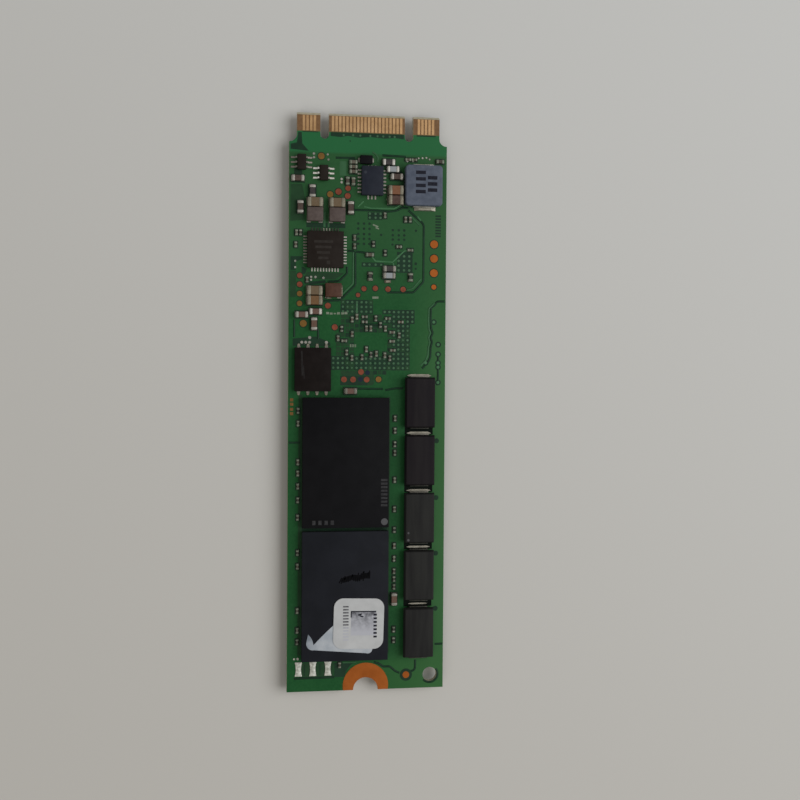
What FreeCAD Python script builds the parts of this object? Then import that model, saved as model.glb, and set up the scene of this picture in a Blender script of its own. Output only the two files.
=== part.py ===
import FreeCAD, Part
import math
import os
from collections import namedtuple

# A gumstick solid state drive: one card with contacts along its edge, memory packages on both
# faces, a column of hold-up capacitors and the small parts of its power supply.
# Frame: X across the card, Y towards the contacts, Z up, standing on the packages underneath.

# Card, across: what lies side by side adds up to its width
flash_inset = 1.95
flash_width = 12.0
channel_width = 2.2
capacitor_width = 4.3
capacitor_inset = 1.55
board_width = flash_inset + flash_width + channel_width + capacitor_width + capacitor_inset

# Card, along: from the screw end to the contact edge, as the hidden packages lie one above the other
tail_margin = 4.4
flash_length = 18.0
flash_gap = 0.5
flash_clearance = 1.6
controller_length = 12.0
package_gap = 1.5
buffer_length = 11.0
contact_margin = 13.0
component_zone = flash_clearance + controller_length + package_gap + buffer_length + contact_margin
board_length = tail_margin + 2 * flash_length + flash_gap + component_zone
board_thickness = 0.8

# Contact tab
tab_length = 4.0
shoulder_radius = 1.0
shoulder_flat = 0.075
bevel_length = 0.3
bevel_depth = 0.2
key_width = 1.2
key_depth = 3.5
key_positions = (-6.125, 5.625)
key_land = 0.4
contact_pitch = 0.5
contact_width = 0.35
contact_length = 2.1
contact_inset = 0.35
contact_side_margin = 0.5
copper_thickness = 0.04

# Screw end
screw_notch_radius = 1.75
screw_pad_radius = 3.2
screw_pad_rise = 0.6
tooling_hole_radius = 1.0
tooling_hole_inset = 1.9
link_width = 1.05
link_waist = 0.75
link_length = 2.0
link_height = 0.12
link_rise = 3.15
link_positions = (-9.4, -7.4, -5.3)

# Packages on solder balls; the two kinds that the card lies on are equally tall
Package = namedtuple("Package", "width length pitch")
controller_width = 12.0
buffer_width = 8.0
flash_pitch = 1.5
ball_pitch = 1.0
ball_margin = 1.0
flash = Package(flash_width, flash_length, flash_pitch)
controller = Package(controller_width, controller_length, ball_pitch)
buffer = Package(buffer_width, buffer_length, ball_pitch)
ball_height = 0.3
ball_width = 0.4
substrate_height = 0.2
case_height = 0.7
buffer_case_height = 0.5
controller_x = 0.4
buffer_x = 2.5
buffer_drop = contact_margin + buffer_length / 2
controller_drop = contact_margin + buffer_length + package_gap + controller_length / 2

# Chip capacitors and resistors, in four sizes: a body with metal ends
Chip = namedtuple("Chip", "length width height end")
large_chip_length = 2.0
large_chip_width = 1.25
large_chip_height = 0.95
large_chip_end = 0.45
medium_chip_length = 1.6
medium_chip_width = 0.8
medium_chip_height = 0.7
medium_chip_end = 0.35
small_chip_length = 1.0
small_chip_width = 0.5
small_chip_height = 0.45
small_chip_end = 0.25
tiny_chip_length = 0.7
tiny_chip_width = 0.36
tiny_chip_height = 0.32
tiny_chip_end = 0.2
chip_body_relief = 0.03
large_chip = Chip(large_chip_length, large_chip_width, large_chip_height, large_chip_end)
medium_chip = Chip(medium_chip_length, medium_chip_width, medium_chip_height, medium_chip_end)
small_chip = Chip(small_chip_length, small_chip_width, small_chip_height, small_chip_end)
tiny_chip = Chip(tiny_chip_length, tiny_chip_width, tiny_chip_height, tiny_chip_end)

# Hold-up capacitors: a moulded case on two leads folded under its ends
capacitor_count = 5
capacitor_length = 7.3
capacitor_height = 1.5
capacitor_gap = 0.75
capacitor_rise = 4.4
capacitor_draft = 0.2
capacitor_lead_width = 2.6
capacitor_lead_thickness = 0.12
capacitor_lead_foot = 1.3

# Power inductor
inductor_width = 5.2
inductor_length = 5.6
inductor_height = 1.4
inductor_radius = 0.5
inductor_edge = 0.12
inductor_lead_width = 2.9
inductor_lead_thickness = 0.2
inductor_lead_foot = 1.2
inductor_gap = 0.25

# Chips with no legs: pads along their sides reach out from under the case
LeadRow = namedtuple("LeadRow", "count pitch width toe")
pad_height = 0.1
pad_under = 0.4
converter_width = 3.0
converter_length = 4.0
converter_height = 0.9
converter_side_pads = 7
converter_end_pads = 3
converter_pitch = 0.5
converter_pad_width = 0.24
converter_toe = 0.5
converter_upper_toe = 0.2
converter_long_row = LeadRow(converter_side_pads, converter_pitch, converter_pad_width, converter_toe)
converter_lower_row = LeadRow(converter_end_pads, converter_pitch, converter_pad_width, converter_toe)
converter_upper_row = LeadRow(converter_end_pads, converter_pitch, converter_pad_width, converter_upper_toe)
manager_width = 5.0
manager_height = 0.85
manager_side_pads = 10
manager_pitch = 0.4
manager_pad_width = 0.2
manager_toe = 0.5
manager_row = LeadRow(manager_side_pads, manager_pitch, manager_pad_width, manager_toe)
firmware_width = 5.0
firmware_length = 6.0
firmware_height = 0.75
firmware_end_pads = 4
firmware_pitch = 1.27
firmware_pad_width = 0.45
firmware_toe = 0.3
firmware_row = LeadRow(firmware_end_pads, firmware_pitch, firmware_pad_width, firmware_toe)

# Switch transistors with bent legs, and the diode beside the converter
transistor_width = 1.2
transistor_length = 2.15
transistor_height = 0.85
transistor_stand = 0.1
transistor_draft = 0.06
transistor_side_legs = 3
transistor_pitch = 0.65
transistor_leg_width = 0.26
transistor_leg_length = 0.87
transistor_leg_thickness = 0.12
transistor_leg_reach = 0.25
transistor_row = LeadRow(transistor_side_legs, transistor_pitch, transistor_leg_width, transistor_leg_length)
diode_width = 1.7
diode_length = 1.15
diode_height = 0.7
diode_pad_width = 0.6
diode_toe = 0.25
diode_row = LeadRow(1, 0, diode_pad_width, diode_toe)

# Filter inductors, each with a large chip beyond it, and the choke
filter_width = 2.2
filter_length = 1.9
filter_height = 0.95
filter_pad_width = 0.55
filter_pad_toe = 0.15

# Places on the front are X and a drop from the contact edge; neighbours are placed from one another
part_gap = 0.1
row_gap = 0.5
transistor_gap = 0.625
manager_gap = 0.7
choke_gap = 1.6
stack_gap = 2.0
high_transistor = (-9.3, 6.85)
low_transistor = (-6.25, 8.25)
left_x = -7.45
stand_drop = low_transistor[1] + transistor_length / 2 + transistor_gap + medium_chip_length / 2
beyond_drop = stand_drop + (medium_chip_length + large_chip_width) / 2 + part_gap
filter_drop = beyond_drop + (large_chip_width + filter_length) / 2 + part_gap
filter_positions = (left_x, -4.4)
manager_x = -6.0
manager_drop = (filter_drop + filter_length / 2 + filter_pad_toe + manager_gap + manager_toe
                + manager_width / 2)
manager_end = manager_drop + manager_width / 2 + manager_toe
choke_x = -4.87
choke_drop = manager_end + choke_gap + filter_length / 2
left_stack_drop = manager_end + stack_gap + large_chip_width / 2
under_stack_drop = left_stack_drop + 1.5 * large_chip_width + part_gap + row_gap + medium_chip_width / 2
converter_x = 0.45
converter_drop = 9.15
converter_reach = converter_width / 2 + converter_toe + part_gap
diode_x = -0.4
diode_drop = converter_drop - (converter_length + diode_length) / 2 - converter_upper_toe - part_gap
top_row_drop = 6.15
right_stack = (3.75, 10.35)
inductor_x = right_stack[0] + (large_chip_length + inductor_width) / 2 + inductor_gap
inductor_drop = (top_row_drop + small_chip_width / 2 + inductor_gap + inductor_lead_thickness
                 + inductor_length / 2)
small_column_x = converter_x - converter_reach - small_chip_length / 2
large_stacks = (right_stack, (left_x, left_stack_drop))
medium_across = (
    (-9.8, 9.05), (2.75, 6.5), (converter_x + converter_reach + medium_chip_length / 2, 7.45), (3.9, 8.45),
    (-7.3, under_stack_drop), (-9.2, 27.7), (2.95, 21.2), (2.9, 22.15),
)
medium_along = (
    (-7.8, stand_drop), (-9.45, 12.95), (-2.5, 12.9),
    (-7.5, under_stack_drop + (medium_chip_width + medium_chip_length) / 2 + row_gap),
)
small_across = (
    (10.0, top_row_drop), (small_column_x, 6.6), (small_column_x, 7.25), (small_column_x, 7.9), (0.2, 19.3),
)
small_along = ((-2.95, 9.2), (small_column_x, 9.25), (0.25, 22.25), (5.95, 22.3))
tiny_across = ((5.5, 6.0), (6.35, 6.0), (4.3, 18.1), (5.9, 18.55))
tiny_along = (
    (0.7, 17.8), (2.35, 19.0), (2.3, 13.8), (5.2, 14.3), (5.85, 14.3), (-1.92, 17.0), (-1.92, 18.15),
    (-9.95, 16.45), (-9.4, 16.45), (-10.05, 18.1),
    (-8.47, left_stack_drop - (large_chip_width + tiny_chip_length) / 2 - row_gap),
)

# Places above the flash packages: X and a rise from their upper end
firmware_x = -7.65
firmware_rise = 0.85
flash_medium = (-2.4, 0.9)

# Chips opposite the controller: X and a rise from its centre
bypass_across = (
    (-3.3, 0.25), (3.4, 1.5), (3.4, 0.25), (3.5, -1.0), (-0.45, 3.6), (-0.45, 2.9), (2.8, 3.4), (4.6, 2.95),
)
bypass_along = (
    (-3.65, 1.9), (-2.2, 1.2), (-4.15, 0.6), (-0.2, 2.0), (0.4, 2.0), (2.45, 2.0), (1.75, 2.5), (4.4, 1.1),
    (-0.2, -0.9), (0.45, -1.65), (1.2, -1.5), (2.4, -1.7), (3.1, -2.1), (-0.8, -2.0), (-2.2, -2.1),
    (-2.95, -1.35), (1.1, 3.4), (-2.2, 3.2), (-1.55, 3.6),
)

# Chips beside the flash packages: distances from each package's own upper end
column_offset = 0.55
channel_offset = 0.95
left_columns = ((1.85, 3.6, 8.95, 10.5, 12.3, 14.2, 16.6), (3.0, 4.9, 11.05, 13.8, 15.4))
channel_columns = ((2.9, 4.6, 6.5, 7.7, 11.5, 15.6), (0.0, 2.25, 4.05, 5.8, 6.9, 8.0, 14.0, 15.5))
channel_medium = 9.7
tail_chip_place = (-3.67, 3.6)
back_column_offset = 1.1
back_flash_steps = (3.0, 9.0, 15.0)
back_controller_steps = (-3.0, 3.0)

# Bare copper test pads: X, a drop or rise as above, and a diameter
edge_pads = (
    (-6.58, 5.9, 0.9), (-2.86, 10.2, 0.75), (-2.9, 11.25, 0.8),
    (-4.18, beyond_drop - 1.575, 0.85), (-5.33, beyond_drop - 1.175, 0.85),
    (-9.48, 22.33, 0.75), (-9.48, 23.55, 0.75), (-9.48, 24.83, 0.75), (-9.48, 26.17, 0.75),
    (9.29, 17.64, 1.1), (9.29, 19.64, 1.1), (9.29, 21.65, 1.1), (9.29, 23.6, 0.7),
    (-0.56, 24.0, 0.7), (1.03, 23.92, 0.75), (2.82, 24.0, 0.75), (4.94, 24.0, 0.75), (-1.38, 24.88, 0.6),
    (-5.56, 26.42, 0.8), (-8.95, 28.92, 0.95),
)
flash_pads = ((-0.9, 3.55, 0.8), (-3.27, 2.5, 0.8), (-2.0, 2.5, 0.8), (-0.1, 2.5, 0.8), (1.56, 2.54, 0.8))
bypass_pad = (-4.6, 2.12, 0.8)
tail_pad = (5.72, 1.92, 0.95)
pad_sides = 8
edge_land_inset = 0.5
edge_land_width = 0.45
edge_land_length = 0.4
edge_land_steps = (0.35, 0.95, 1.65, 2.25)

# Labels on the second flash package, placed from its centre
label_thickness = 0.08
label_side = 7.0
label_radius = 1.3
label_offset = (1.88, -3.8)
label_tilt = -1.5
torn_start = (-5.37, -6.35)
torn_outline = (
    ((-5.11, -7.07), (-4.3, -7.34)), (2.91, -7.96), ((3.58, -7.86), (3.82, -7.4)), (3.82, -4.9),
    (-0.45, -2.9), (-1.66, -4.0), ((-3.1, -5.35), (-4.38, -6.64)), ((-4.62, -5.8), (-5.12, -5.15)),
    (-5.37, -6.35),
)

# Heights and edges that follow
back_z = ball_height + substrate_height + case_height
front_z = back_z + board_thickness
left_edge = -board_width / 2
right_edge = board_width / 2
tail_edge = -board_length / 2
contact_edge = board_length / 2
shoulder_y = contact_edge - tab_length
tab_width = board_width - 2 * (shoulder_radius + shoulder_flat)
flash_x = left_edge + flash_inset + flash_width / 2
flash_right = flash_x + flash_width / 2
flash_top = contact_edge - component_zone
flash_centres = (flash_top - flash_length / 2, tail_edge + tail_margin + flash_length / 2)
controller_y = contact_edge - controller_drop
Vector = FreeCAD.Vector
UP = Vector(0, 0, 1)
ORIGIN = Vector(0, 0, 0)


def box(width, length, height, x=0, y=0, z=0):
    """A block centred on x and y, standing on z."""
    return Part.makeBox(width, length, height, Vector(x - width / 2, y - length / 2, z))


def rounded_box(width, length, height, radius):
    block = box(width, length, height)
    uprights = [edge for edge in block.Edges if abs(edge.tangentAt(edge.FirstParameter).z) > 0.9]
    return block.makeFillet(radius, uprights)


def flat_face(start, steps):
    """A face at z = 0: each step is a point to draw a line to, or two points to draw an arc through."""
    edges = []
    here = Vector(*start)
    for step in steps:
        if isinstance(step[0], tuple):
            there = Vector(*step[1])
            edges.append(Part.Arc(here, Vector(*step[0]), there).toShape())
        else:
            there = Vector(*step)
            edges.append(Part.makeLine(here, there))
        here = there
    return Part.Face(Part.Wire(edges))


def on_card(shape, x, y, turn=0, face="front"):
    """Stand a shape made on z = 0 on one face of the card."""
    piece = shape.copy()
    piece.rotate(ORIGIN, UP, turn)
    if face == "back":
        piece.rotate(ORIGIN, Vector(0, 1, 0), 180)
        piece.translate(Vector(x, y, back_z))
    else:
        piece.translate(Vector(x, y, front_z))
    return piece


def from_edge(places):
    """Turn each X and drop from the contact edge, with what follows them, into X and Y."""
    return [(place[0], contact_edge - place[1]) + place[2:] for place in places]


def above(y, places):
    """The same for a rise from a given Y."""
    return [(place[0], y + place[1]) + place[2:] for place in places]


def save(name, pieces):
    """Write one node: a solid, or a group of like solids."""
    shape = Part.makeCompound(pieces) if isinstance(pieces, list) else pieces
    shape.exportStep("parts/" + name + ".step")


def card():
    half_width = board_width / 2
    half_tab = tab_width / 2
    round_x = half_tab + shoulder_radius
    round_y = shoulder_y + shoulder_radius
    middle = shoulder_radius * (1 - 0.5 ** 0.5)
    outline = flat_face((-half_width, tail_edge), (
        (-screw_notch_radius, tail_edge),
        ((0, tail_edge + screw_notch_radius), (screw_notch_radius, tail_edge)),
        (half_width, tail_edge), (half_width, shoulder_y), (round_x, shoulder_y),
        ((half_tab + middle, shoulder_y + middle), (half_tab, round_y)),
        (half_tab, contact_edge), (-half_tab, contact_edge), (-half_tab, round_y),
        ((-half_tab - middle, shoulder_y + middle), (-round_x, shoulder_y)),
        (-half_width, shoulder_y), (-half_width, tail_edge),
    ))
    plate = outline.extrude(UP * board_thickness)
    plate.translate(UP * back_z)
    return plate.cut([key_slot(x) for x in key_positions] + [tooling_hole()] + bevels()).Solids[0]


def key_slot(x):
    """A slot with a round end, open at the contact edge."""
    radius = key_width / 2
    straight = key_depth - radius
    end = Part.makeCylinder(radius, board_thickness, Vector(x, contact_edge - straight, back_z))
    run = box(key_width, 2 * straight, board_thickness, x, contact_edge, back_z)
    return run.fuse(end)


def tooling_hole():
    centre = Vector(right_edge - tooling_hole_inset, tail_edge + tooling_hole_inset, back_z)
    return Part.makeCylinder(tooling_hole_radius, board_thickness, centre)


def bevels():
    """Two wedges that thin the contact edge from both faces."""
    wedges = []
    for z, depth in ((front_z, -bevel_depth), (back_z, bevel_depth)):
        corners = ((0, contact_edge - bevel_length, z), (0, contact_edge, z),
                   (0, contact_edge, z + depth), (0, contact_edge - bevel_length, z))
        wedge = Part.Face(Part.makePolygon([Vector(*corner) for corner in corners]))
        wedge.translate(Vector(left_edge, 0, 0))
        wedges.append(wedge.extrude(Vector(board_width, 0, 0)))
    return wedges


def contact_row(first, face):
    """Contacts on one face, wherever the tab has room beside the keys."""
    clear_of_key = key_width / 2 + key_land
    reach = tab_width / 2 - contact_side_margin - contact_width / 2
    y = contact_edge - contact_inset - contact_length / 2
    finger = box(contact_width, contact_length, copper_thickness)
    steps = int(board_width / contact_pitch)
    row = []
    for step in range(-steps, steps + 1):
        x = first + step * contact_pitch
        if abs(x) <= reach and all(abs(x - key) > clear_of_key for key in key_positions):
            row.append(on_card(finger, x, y, 0, face))
    return row


def screw_pad(face):
    """Bare copper round the screw notch, cut off at the card's end."""
    disc = Part.makeCylinder(screw_pad_radius, copper_thickness, Vector(0, screw_pad_rise, 0))
    notch = Part.makeCylinder(screw_notch_radius, copper_thickness)
    span = 2 * screw_pad_radius
    inside = box(span, span, copper_thickness, 0, span / 2)
    return on_card(disc.common(inside).cut(notch), 0, tail_edge, 0, face).Solids[0]


def round_pad(diameter):
    """A pad with few sides, because there are many of them."""
    turns = [2 * math.pi * side / pad_sides for side in range(pad_sides + 1)]
    rim = [Vector(diameter / 2 * math.cos(turn), diameter / 2 * math.sin(turn), 0) for turn in turns]
    return Part.Face(Part.makePolygon(rim)).extrude(UP * copper_thickness)


def copper_lands():
    """Test pads, and the four small lands at the left edge."""
    pads = from_edge(edge_pads) + above(flash_top, flash_pads)
    pads += above(controller_y, [bypass_pad]) + above(tail_edge, [tail_pad])
    lands = [on_card(round_pad(diameter), x, y) for x, y, diameter in pads]
    land = box(edge_land_width, edge_land_length, copper_thickness)
    for step in edge_land_steps:
        lands.append(on_card(land, left_edge + edge_land_inset, flash_top - step))
    return lands


def solder_links():
    """Hourglass bridges of solder, drawn in at the waist."""
    half = link_width / 2
    waist = link_waist / 2
    end = link_length / 2
    plan = flat_face((-half, -end), (
        (half, -end), ((waist, 0), (half, end)), (-half, end), ((-waist, 0), (-half, -end)),
    ))
    link = plan.extrude(UP * link_height)
    return [on_card(link, x, tail_edge + link_rise) for x in link_positions]


def ball_ring(package):
    """The outer row of solder balls; the rows inside it can't be seen or reached."""
    across = round((package.width - 2 * ball_margin) / package.pitch)
    along = round((package.length - 2 * ball_margin) / package.pitch)
    balls = []
    for column in range(across + 1):
        for row in range(along + 1):
            if column in (0, across) or row in (0, along):
                x = (column - across / 2) * package.pitch
                y = (row - along / 2) * package.pitch
                balls.append(box(ball_width, ball_width, ball_height, x, y))
    return balls


def save_package(name, package, height, x, y, face):
    """A moulded case on a laminate; the balls under it are returned, to be grouped by face."""
    laminate = box(package.width, package.length, substrate_height, 0, 0, ball_height)
    case = box(package.width, package.length, height, 0, 0, ball_height + substrate_height)
    save(name + "_substrate", on_card(laminate, x, y, 0, face))
    save(name + "_case", on_card(case, x, y, 0, face))
    return [on_card(ball, x, y, 0, face) for ball in ball_ring(package)]


def folded_lead(end, top, thickness, width, foot):
    """A strip that leaves the end of a case at half height, turns down and folds in under it."""
    outer = end + thickness
    corners = ((0, end, top), (0, outer, top), (0, outer, 0), (0, end - foot, 0),
               (0, end - foot, thickness), (0, end, thickness), (0, end, top))
    strip = Part.Face(Part.makePolygon([Vector(*corner) for corner in corners]))
    strip.translate(Vector(-width / 2, 0, 0))
    return strip.extrude(Vector(width, 0, 0))


def lead_pair(lead):
    other = lead.copy()
    other.rotate(ORIGIN, UP, 180)
    return [lead, other]


def rectangle(width, length, z):
    corners = ((-1, -1), (1, -1), (1, 1), (-1, 1), (-1, -1))
    return Part.makePolygon([Vector(x * width / 2, y * length / 2, z) for x, y in corners])


def moulded_case(width, length, low, high, draft):
    """Widest at the parting line, drawn in above and below it so that it leaves the mould."""
    sections = []
    for z, inset in ((low, draft), ((low + high) / 2, 0), (high, draft)):
        sections.append(rectangle(width - 2 * inset, length - 2 * inset, z))
    return Part.makeLoft(sections, True, True)


def save_capacitors():
    end = capacitor_length / 2 - capacitor_lead_thickness
    parting = (capacitor_lead_thickness + capacitor_height) / 2
    case = moulded_case(capacitor_width, 2 * end, capacitor_lead_thickness, capacitor_height, capacitor_draft)
    leads = lead_pair(folded_lead(end, parting, capacitor_lead_thickness, capacitor_lead_width,
                                  capacitor_lead_foot))
    x = right_edge - capacitor_inset - capacitor_width / 2
    for number in range(capacitor_count):
        steps_up = capacitor_count - 1 - number
        y = tail_edge + capacitor_rise + capacitor_length / 2 + steps_up * (capacitor_length + capacitor_gap)
        name = "hold_up_capacitor_%d" % (number + 1)
        save(name + "_case", on_card(case, x, y))
        save(name + "_leads", [on_card(lead, x, y) for lead in leads])


def save_inductor():
    core_height = inductor_height - inductor_lead_thickness
    core = rounded_box(inductor_width, inductor_length, core_height, inductor_radius)
    upper = [face for face in core.Faces if face.CenterOfMass.z > core_height - inductor_edge]
    core = core.makeChamfer(inductor_edge, upper[0].Edges)
    core.translate(UP * inductor_lead_thickness)
    lead = folded_lead(inductor_length / 2, inductor_height / 2, inductor_lead_thickness,
                       inductor_lead_width, inductor_lead_foot)
    y = contact_edge - inductor_drop
    save("power_inductor_core", on_card(core, inductor_x, y))
    save("power_inductor_leads", [on_card(piece, inductor_x, y) for piece in lead_pair(lead)])


def pad_row(row, edge, turn):
    """Pads along one side of a chip, reaching in under the case and out past it."""
    pads = []
    for number in range(row.count):
        x = (number - (row.count - 1) / 2) * row.pitch
        length = pad_under + row.toe
        pad = box(row.width, length, pad_height, x, edge - pad_under + length / 2)
        pad.rotate(ORIGIN, UP, turn)
        pads.append(pad)
    return pads


def save_no_lead_chip(name, width, length, height, rows, x, y):
    """rows gives the pads for the sides that face +Y, -X, -Y and +X; None leaves a side bare."""
    edges = (length / 2, width / 2, length / 2, width / 2)
    pads = []
    for side, row in enumerate(rows):
        if row:
            pads += pad_row(row, edges[side], 90 * side)
    save(name + "_case", on_card(box(width, length, height, 0, 0, pad_height), x, y))
    save(name + "_leads", [on_card(pad, x, y) for pad in pads])


def bent_leg():
    """A leg that leaves the case level, steps down and ends in a foot on the card."""
    start = transistor_width / 2
    knee = start + transistor_leg_reach
    tip = start + transistor_row.toe
    thick = transistor_leg_thickness
    high = (transistor_stand + transistor_height) / 2
    corners = ((start, high), (start, high - thick), (knee - thick, high - thick), (knee - thick, 0),
               (tip, 0), (tip, thick), (knee, thick), (knee, high), (start, high))
    profile = Part.Face(Part.makePolygon([Vector(x, 0, z) for x, z in corners]))
    profile.translate(Vector(0, -transistor_row.width / 2, 0))
    return profile.extrude(Vector(0, transistor_row.width, 0))


def save_transistors():
    case = moulded_case(transistor_width, transistor_length, transistor_stand, transistor_height,
                        transistor_draft)
    leg = bent_leg()
    cases = []
    legs = []
    for x, y in from_edge((high_transistor, low_transistor)):
        cases.append(on_card(case, x, y))
        for number in range(transistor_row.count):
            shift = (number - (transistor_row.count - 1) / 2) * transistor_row.pitch
            legs.append(on_card(leg, x, y + shift))
            legs.append(on_card(leg, x, y + shift, 180))
    save("switch_transistor_cases", cases)
    save("switch_transistor_legs", legs)


def save_filter_parts():
    """Ferrite blocks on two end pads, which show along one side."""
    core = box(filter_width, filter_length, filter_height, 0, 0, pad_height)
    pad_x = (filter_width - filter_pad_width) / 2
    pad_length = filter_length + filter_pad_toe
    pads = [box(filter_pad_width, pad_length, pad_height, x, -filter_pad_toe / 2) for x in (-pad_x, pad_x)]
    cores = []
    terminals = []
    for x in filter_positions:
        cores.append(on_card(core, x, contact_edge - filter_drop))
        terminals += [on_card(pad, x, contact_edge - filter_drop) for pad in pads]
    choke_y = contact_edge - choke_drop
    terminals += [on_card(pad, choke_x, choke_y) for pad in pads]
    save("filter_inductor_cores", cores)
    save("choke_core", on_card(core, choke_x, choke_y))
    save("filter_terminals", terminals)


def chip_pieces(chip):
    """A body between two metal ends that stand slightly proud of it."""
    body_length = chip.length - 2 * chip.end
    body_width = chip.width - 2 * chip_body_relief
    body = box(body_length, body_width, chip.height - 2 * chip_body_relief, 0, 0, chip_body_relief)
    end_x = (chip.length - chip.end) / 2
    ends = [box(chip.end, chip.width, chip.height, x) for x in (-end_x, end_x)]
    return body, ends


def save_chips(name, chip, places):
    """places are x, y, turn and face."""
    body, ends = chip_pieces(chip)
    bodies = []
    caps = []
    for x, y, turn, face in places:
        bodies.append(on_card(body, x, y, turn, face))
        caps += [on_card(end, x, y, turn, face) for end in ends]
    save(name + "_bodies", bodies)
    save(name + "_ends", caps)


def front_places(across, along):
    return [(x, y, 0, "front") for x, y in across] + [(x, y, 90, "front") for x, y in along]


def large_places():
    """One beyond each filter inductor, and two stacks of two."""
    across = [(x, beyond_drop) for x in filter_positions]
    for x, drop in large_stacks:
        across += [(x, drop), (x, drop + large_chip.width + part_gap)]
    return front_places(from_edge(across), [])


def medium_places():
    across = from_edge(medium_across) + above(flash_top, [flash_medium])
    along = from_edge(medium_along)
    along.append((flash_right + channel_offset, flash_centres[1] + flash_length / 2 - channel_medium))
    return front_places(across, along)


def small_places():
    """The front ones, and the ones beside the hidden packages."""
    places = front_places(from_edge(small_across), from_edge(small_along))
    for y in flash_centres:
        for step in back_flash_steps:
            places.append((flash_right + back_column_offset, y + flash_length / 2 - step, 90, "back"))
    for side in (-1, 1):
        x = controller_x + side * (controller_width / 2 + back_column_offset)
        for step in back_controller_steps:
            places.append((x, controller_y + step, 90, "back"))
    return places


def tiny_places():
    across = from_edge(tiny_across) + above(controller_y, bypass_across)
    along = from_edge(tiny_along) + above(controller_y, bypass_along)
    for y, left, channel in zip(flash_centres, left_columns, channel_columns):
        top = y + flash_length / 2
        along += [(left_edge + flash_inset - column_offset, top - step) for step in left]
        along += [(flash_right + channel_offset, top - step) for step in channel]
    along += above(tail_edge, [tail_chip_place])
    return front_places(across, along)


def save_labels():
    """A torn label, and a whole one laid over it and pressed down round it."""
    flash_y = flash_centres[1]
    top = ball_height + substrate_height + case_height
    torn = flat_face(torn_start, torn_outline).extrude(UP * label_thickness)
    torn.translate(UP * top)
    whole = rounded_box(label_side, label_side, 2 * label_thickness, label_radius)
    whole.rotate(ORIGIN, UP, label_tilt)
    whole.translate(Vector(label_offset[0], label_offset[1], top))
    save("torn_label", on_card(torn, flash_x, flash_y))
    save("code_label", on_card(whole.cut(torn).Solids[0], flash_x, flash_y))


def save_packages():
    front_balls = []
    back_balls = []
    for number, y in enumerate(flash_centres):
        front_balls += save_package("flash_%d" % (number + 1), flash, case_height, flash_x, y, "front")
        back_balls += save_package("flash_%d" % (number + 3), flash, case_height, flash_x, y, "back")
    back_balls += save_package("controller", controller, case_height, controller_x, controller_y, "back")
    back_balls += save_package("buffer_memory", buffer, buffer_case_height, buffer_x,
                               contact_edge - buffer_drop, "back")
    save("front_solder_balls", front_balls)
    save("back_solder_balls", back_balls)


os.makedirs("parts", exist_ok=True)
save("circuit_board", card())
save("edge_contacts_front", contact_row(0, "front"))
save("edge_contacts_back", contact_row(contact_pitch / 2, "back"))
save("screw_pad_front", screw_pad("front"))
save("screw_pad_back", screw_pad("back"))
save("test_pads", copper_lands())
save("solder_links", solder_links())
save_packages()
save_labels()
save_capacitors()
save_inductor()
save_no_lead_chip("converter_chip", converter_width, converter_length, converter_height,
                  (converter_upper_row, converter_long_row, converter_lower_row, converter_long_row),
                  converter_x, contact_edge - converter_drop)
save_no_lead_chip("power_manager", manager_width, manager_width, manager_height, (manager_row,) * 4,
                  manager_x, contact_edge - manager_drop)
save_no_lead_chip("firmware_chip", firmware_width, firmware_length, firmware_height,
                  (firmware_row, None, firmware_row, None), firmware_x,
                  flash_top + firmware_rise + firmware_length / 2)
save_no_lead_chip("diode", diode_width, diode_length, diode_height,
                  (None, diode_row, None, diode_row), diode_x, contact_edge - diode_drop)
save_transistors()
save_filter_parts()
save_chips("large_chip", large_chip, large_places())
save_chips("medium_chip", medium_chip, medium_places())
save_chips("small_chip", small_chip, small_places())
save_chips("tiny_chip", tiny_chip, tiny_places())
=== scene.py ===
# %% [markdown]
# A drive on a card is mostly small repeated things on one flat green board: contacts, solder joints,
# chips, dots of copper. The construction model already holds every part in its true place, so this
# lesson only dresses it. It starts by loading that model.

# %% Load the fixed frame
import math
import random

import bmesh
import bpy
from mathutils import Matrix, Vector


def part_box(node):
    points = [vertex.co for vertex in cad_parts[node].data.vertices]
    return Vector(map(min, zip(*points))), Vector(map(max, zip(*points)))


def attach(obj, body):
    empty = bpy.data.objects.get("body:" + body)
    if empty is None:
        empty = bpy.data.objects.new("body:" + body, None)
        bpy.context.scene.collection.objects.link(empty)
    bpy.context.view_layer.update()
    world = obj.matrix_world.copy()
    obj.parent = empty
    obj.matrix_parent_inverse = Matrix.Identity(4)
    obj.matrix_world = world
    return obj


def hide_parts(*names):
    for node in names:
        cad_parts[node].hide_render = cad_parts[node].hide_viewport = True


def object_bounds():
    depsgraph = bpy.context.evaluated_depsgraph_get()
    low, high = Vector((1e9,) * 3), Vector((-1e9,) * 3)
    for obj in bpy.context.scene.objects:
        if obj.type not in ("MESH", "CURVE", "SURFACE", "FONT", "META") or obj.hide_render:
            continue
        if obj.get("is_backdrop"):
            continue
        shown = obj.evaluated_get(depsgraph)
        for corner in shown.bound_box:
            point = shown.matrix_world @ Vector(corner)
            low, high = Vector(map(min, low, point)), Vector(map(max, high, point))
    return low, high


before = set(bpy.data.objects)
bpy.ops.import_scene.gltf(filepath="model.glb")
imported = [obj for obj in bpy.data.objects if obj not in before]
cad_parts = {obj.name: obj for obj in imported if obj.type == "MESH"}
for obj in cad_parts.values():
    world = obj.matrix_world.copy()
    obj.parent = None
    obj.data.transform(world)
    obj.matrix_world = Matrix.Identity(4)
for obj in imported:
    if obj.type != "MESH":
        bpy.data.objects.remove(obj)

cad_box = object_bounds()
MM = 0.001
card_low, card_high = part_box("circuit_board")
TOP = card_high.z / MM
BOTTOM = card_low.z / MM
print("nodes", len(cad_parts), "card from", round(BOTTOM, 2), "to", round(TOP, 2), "mm")

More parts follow.
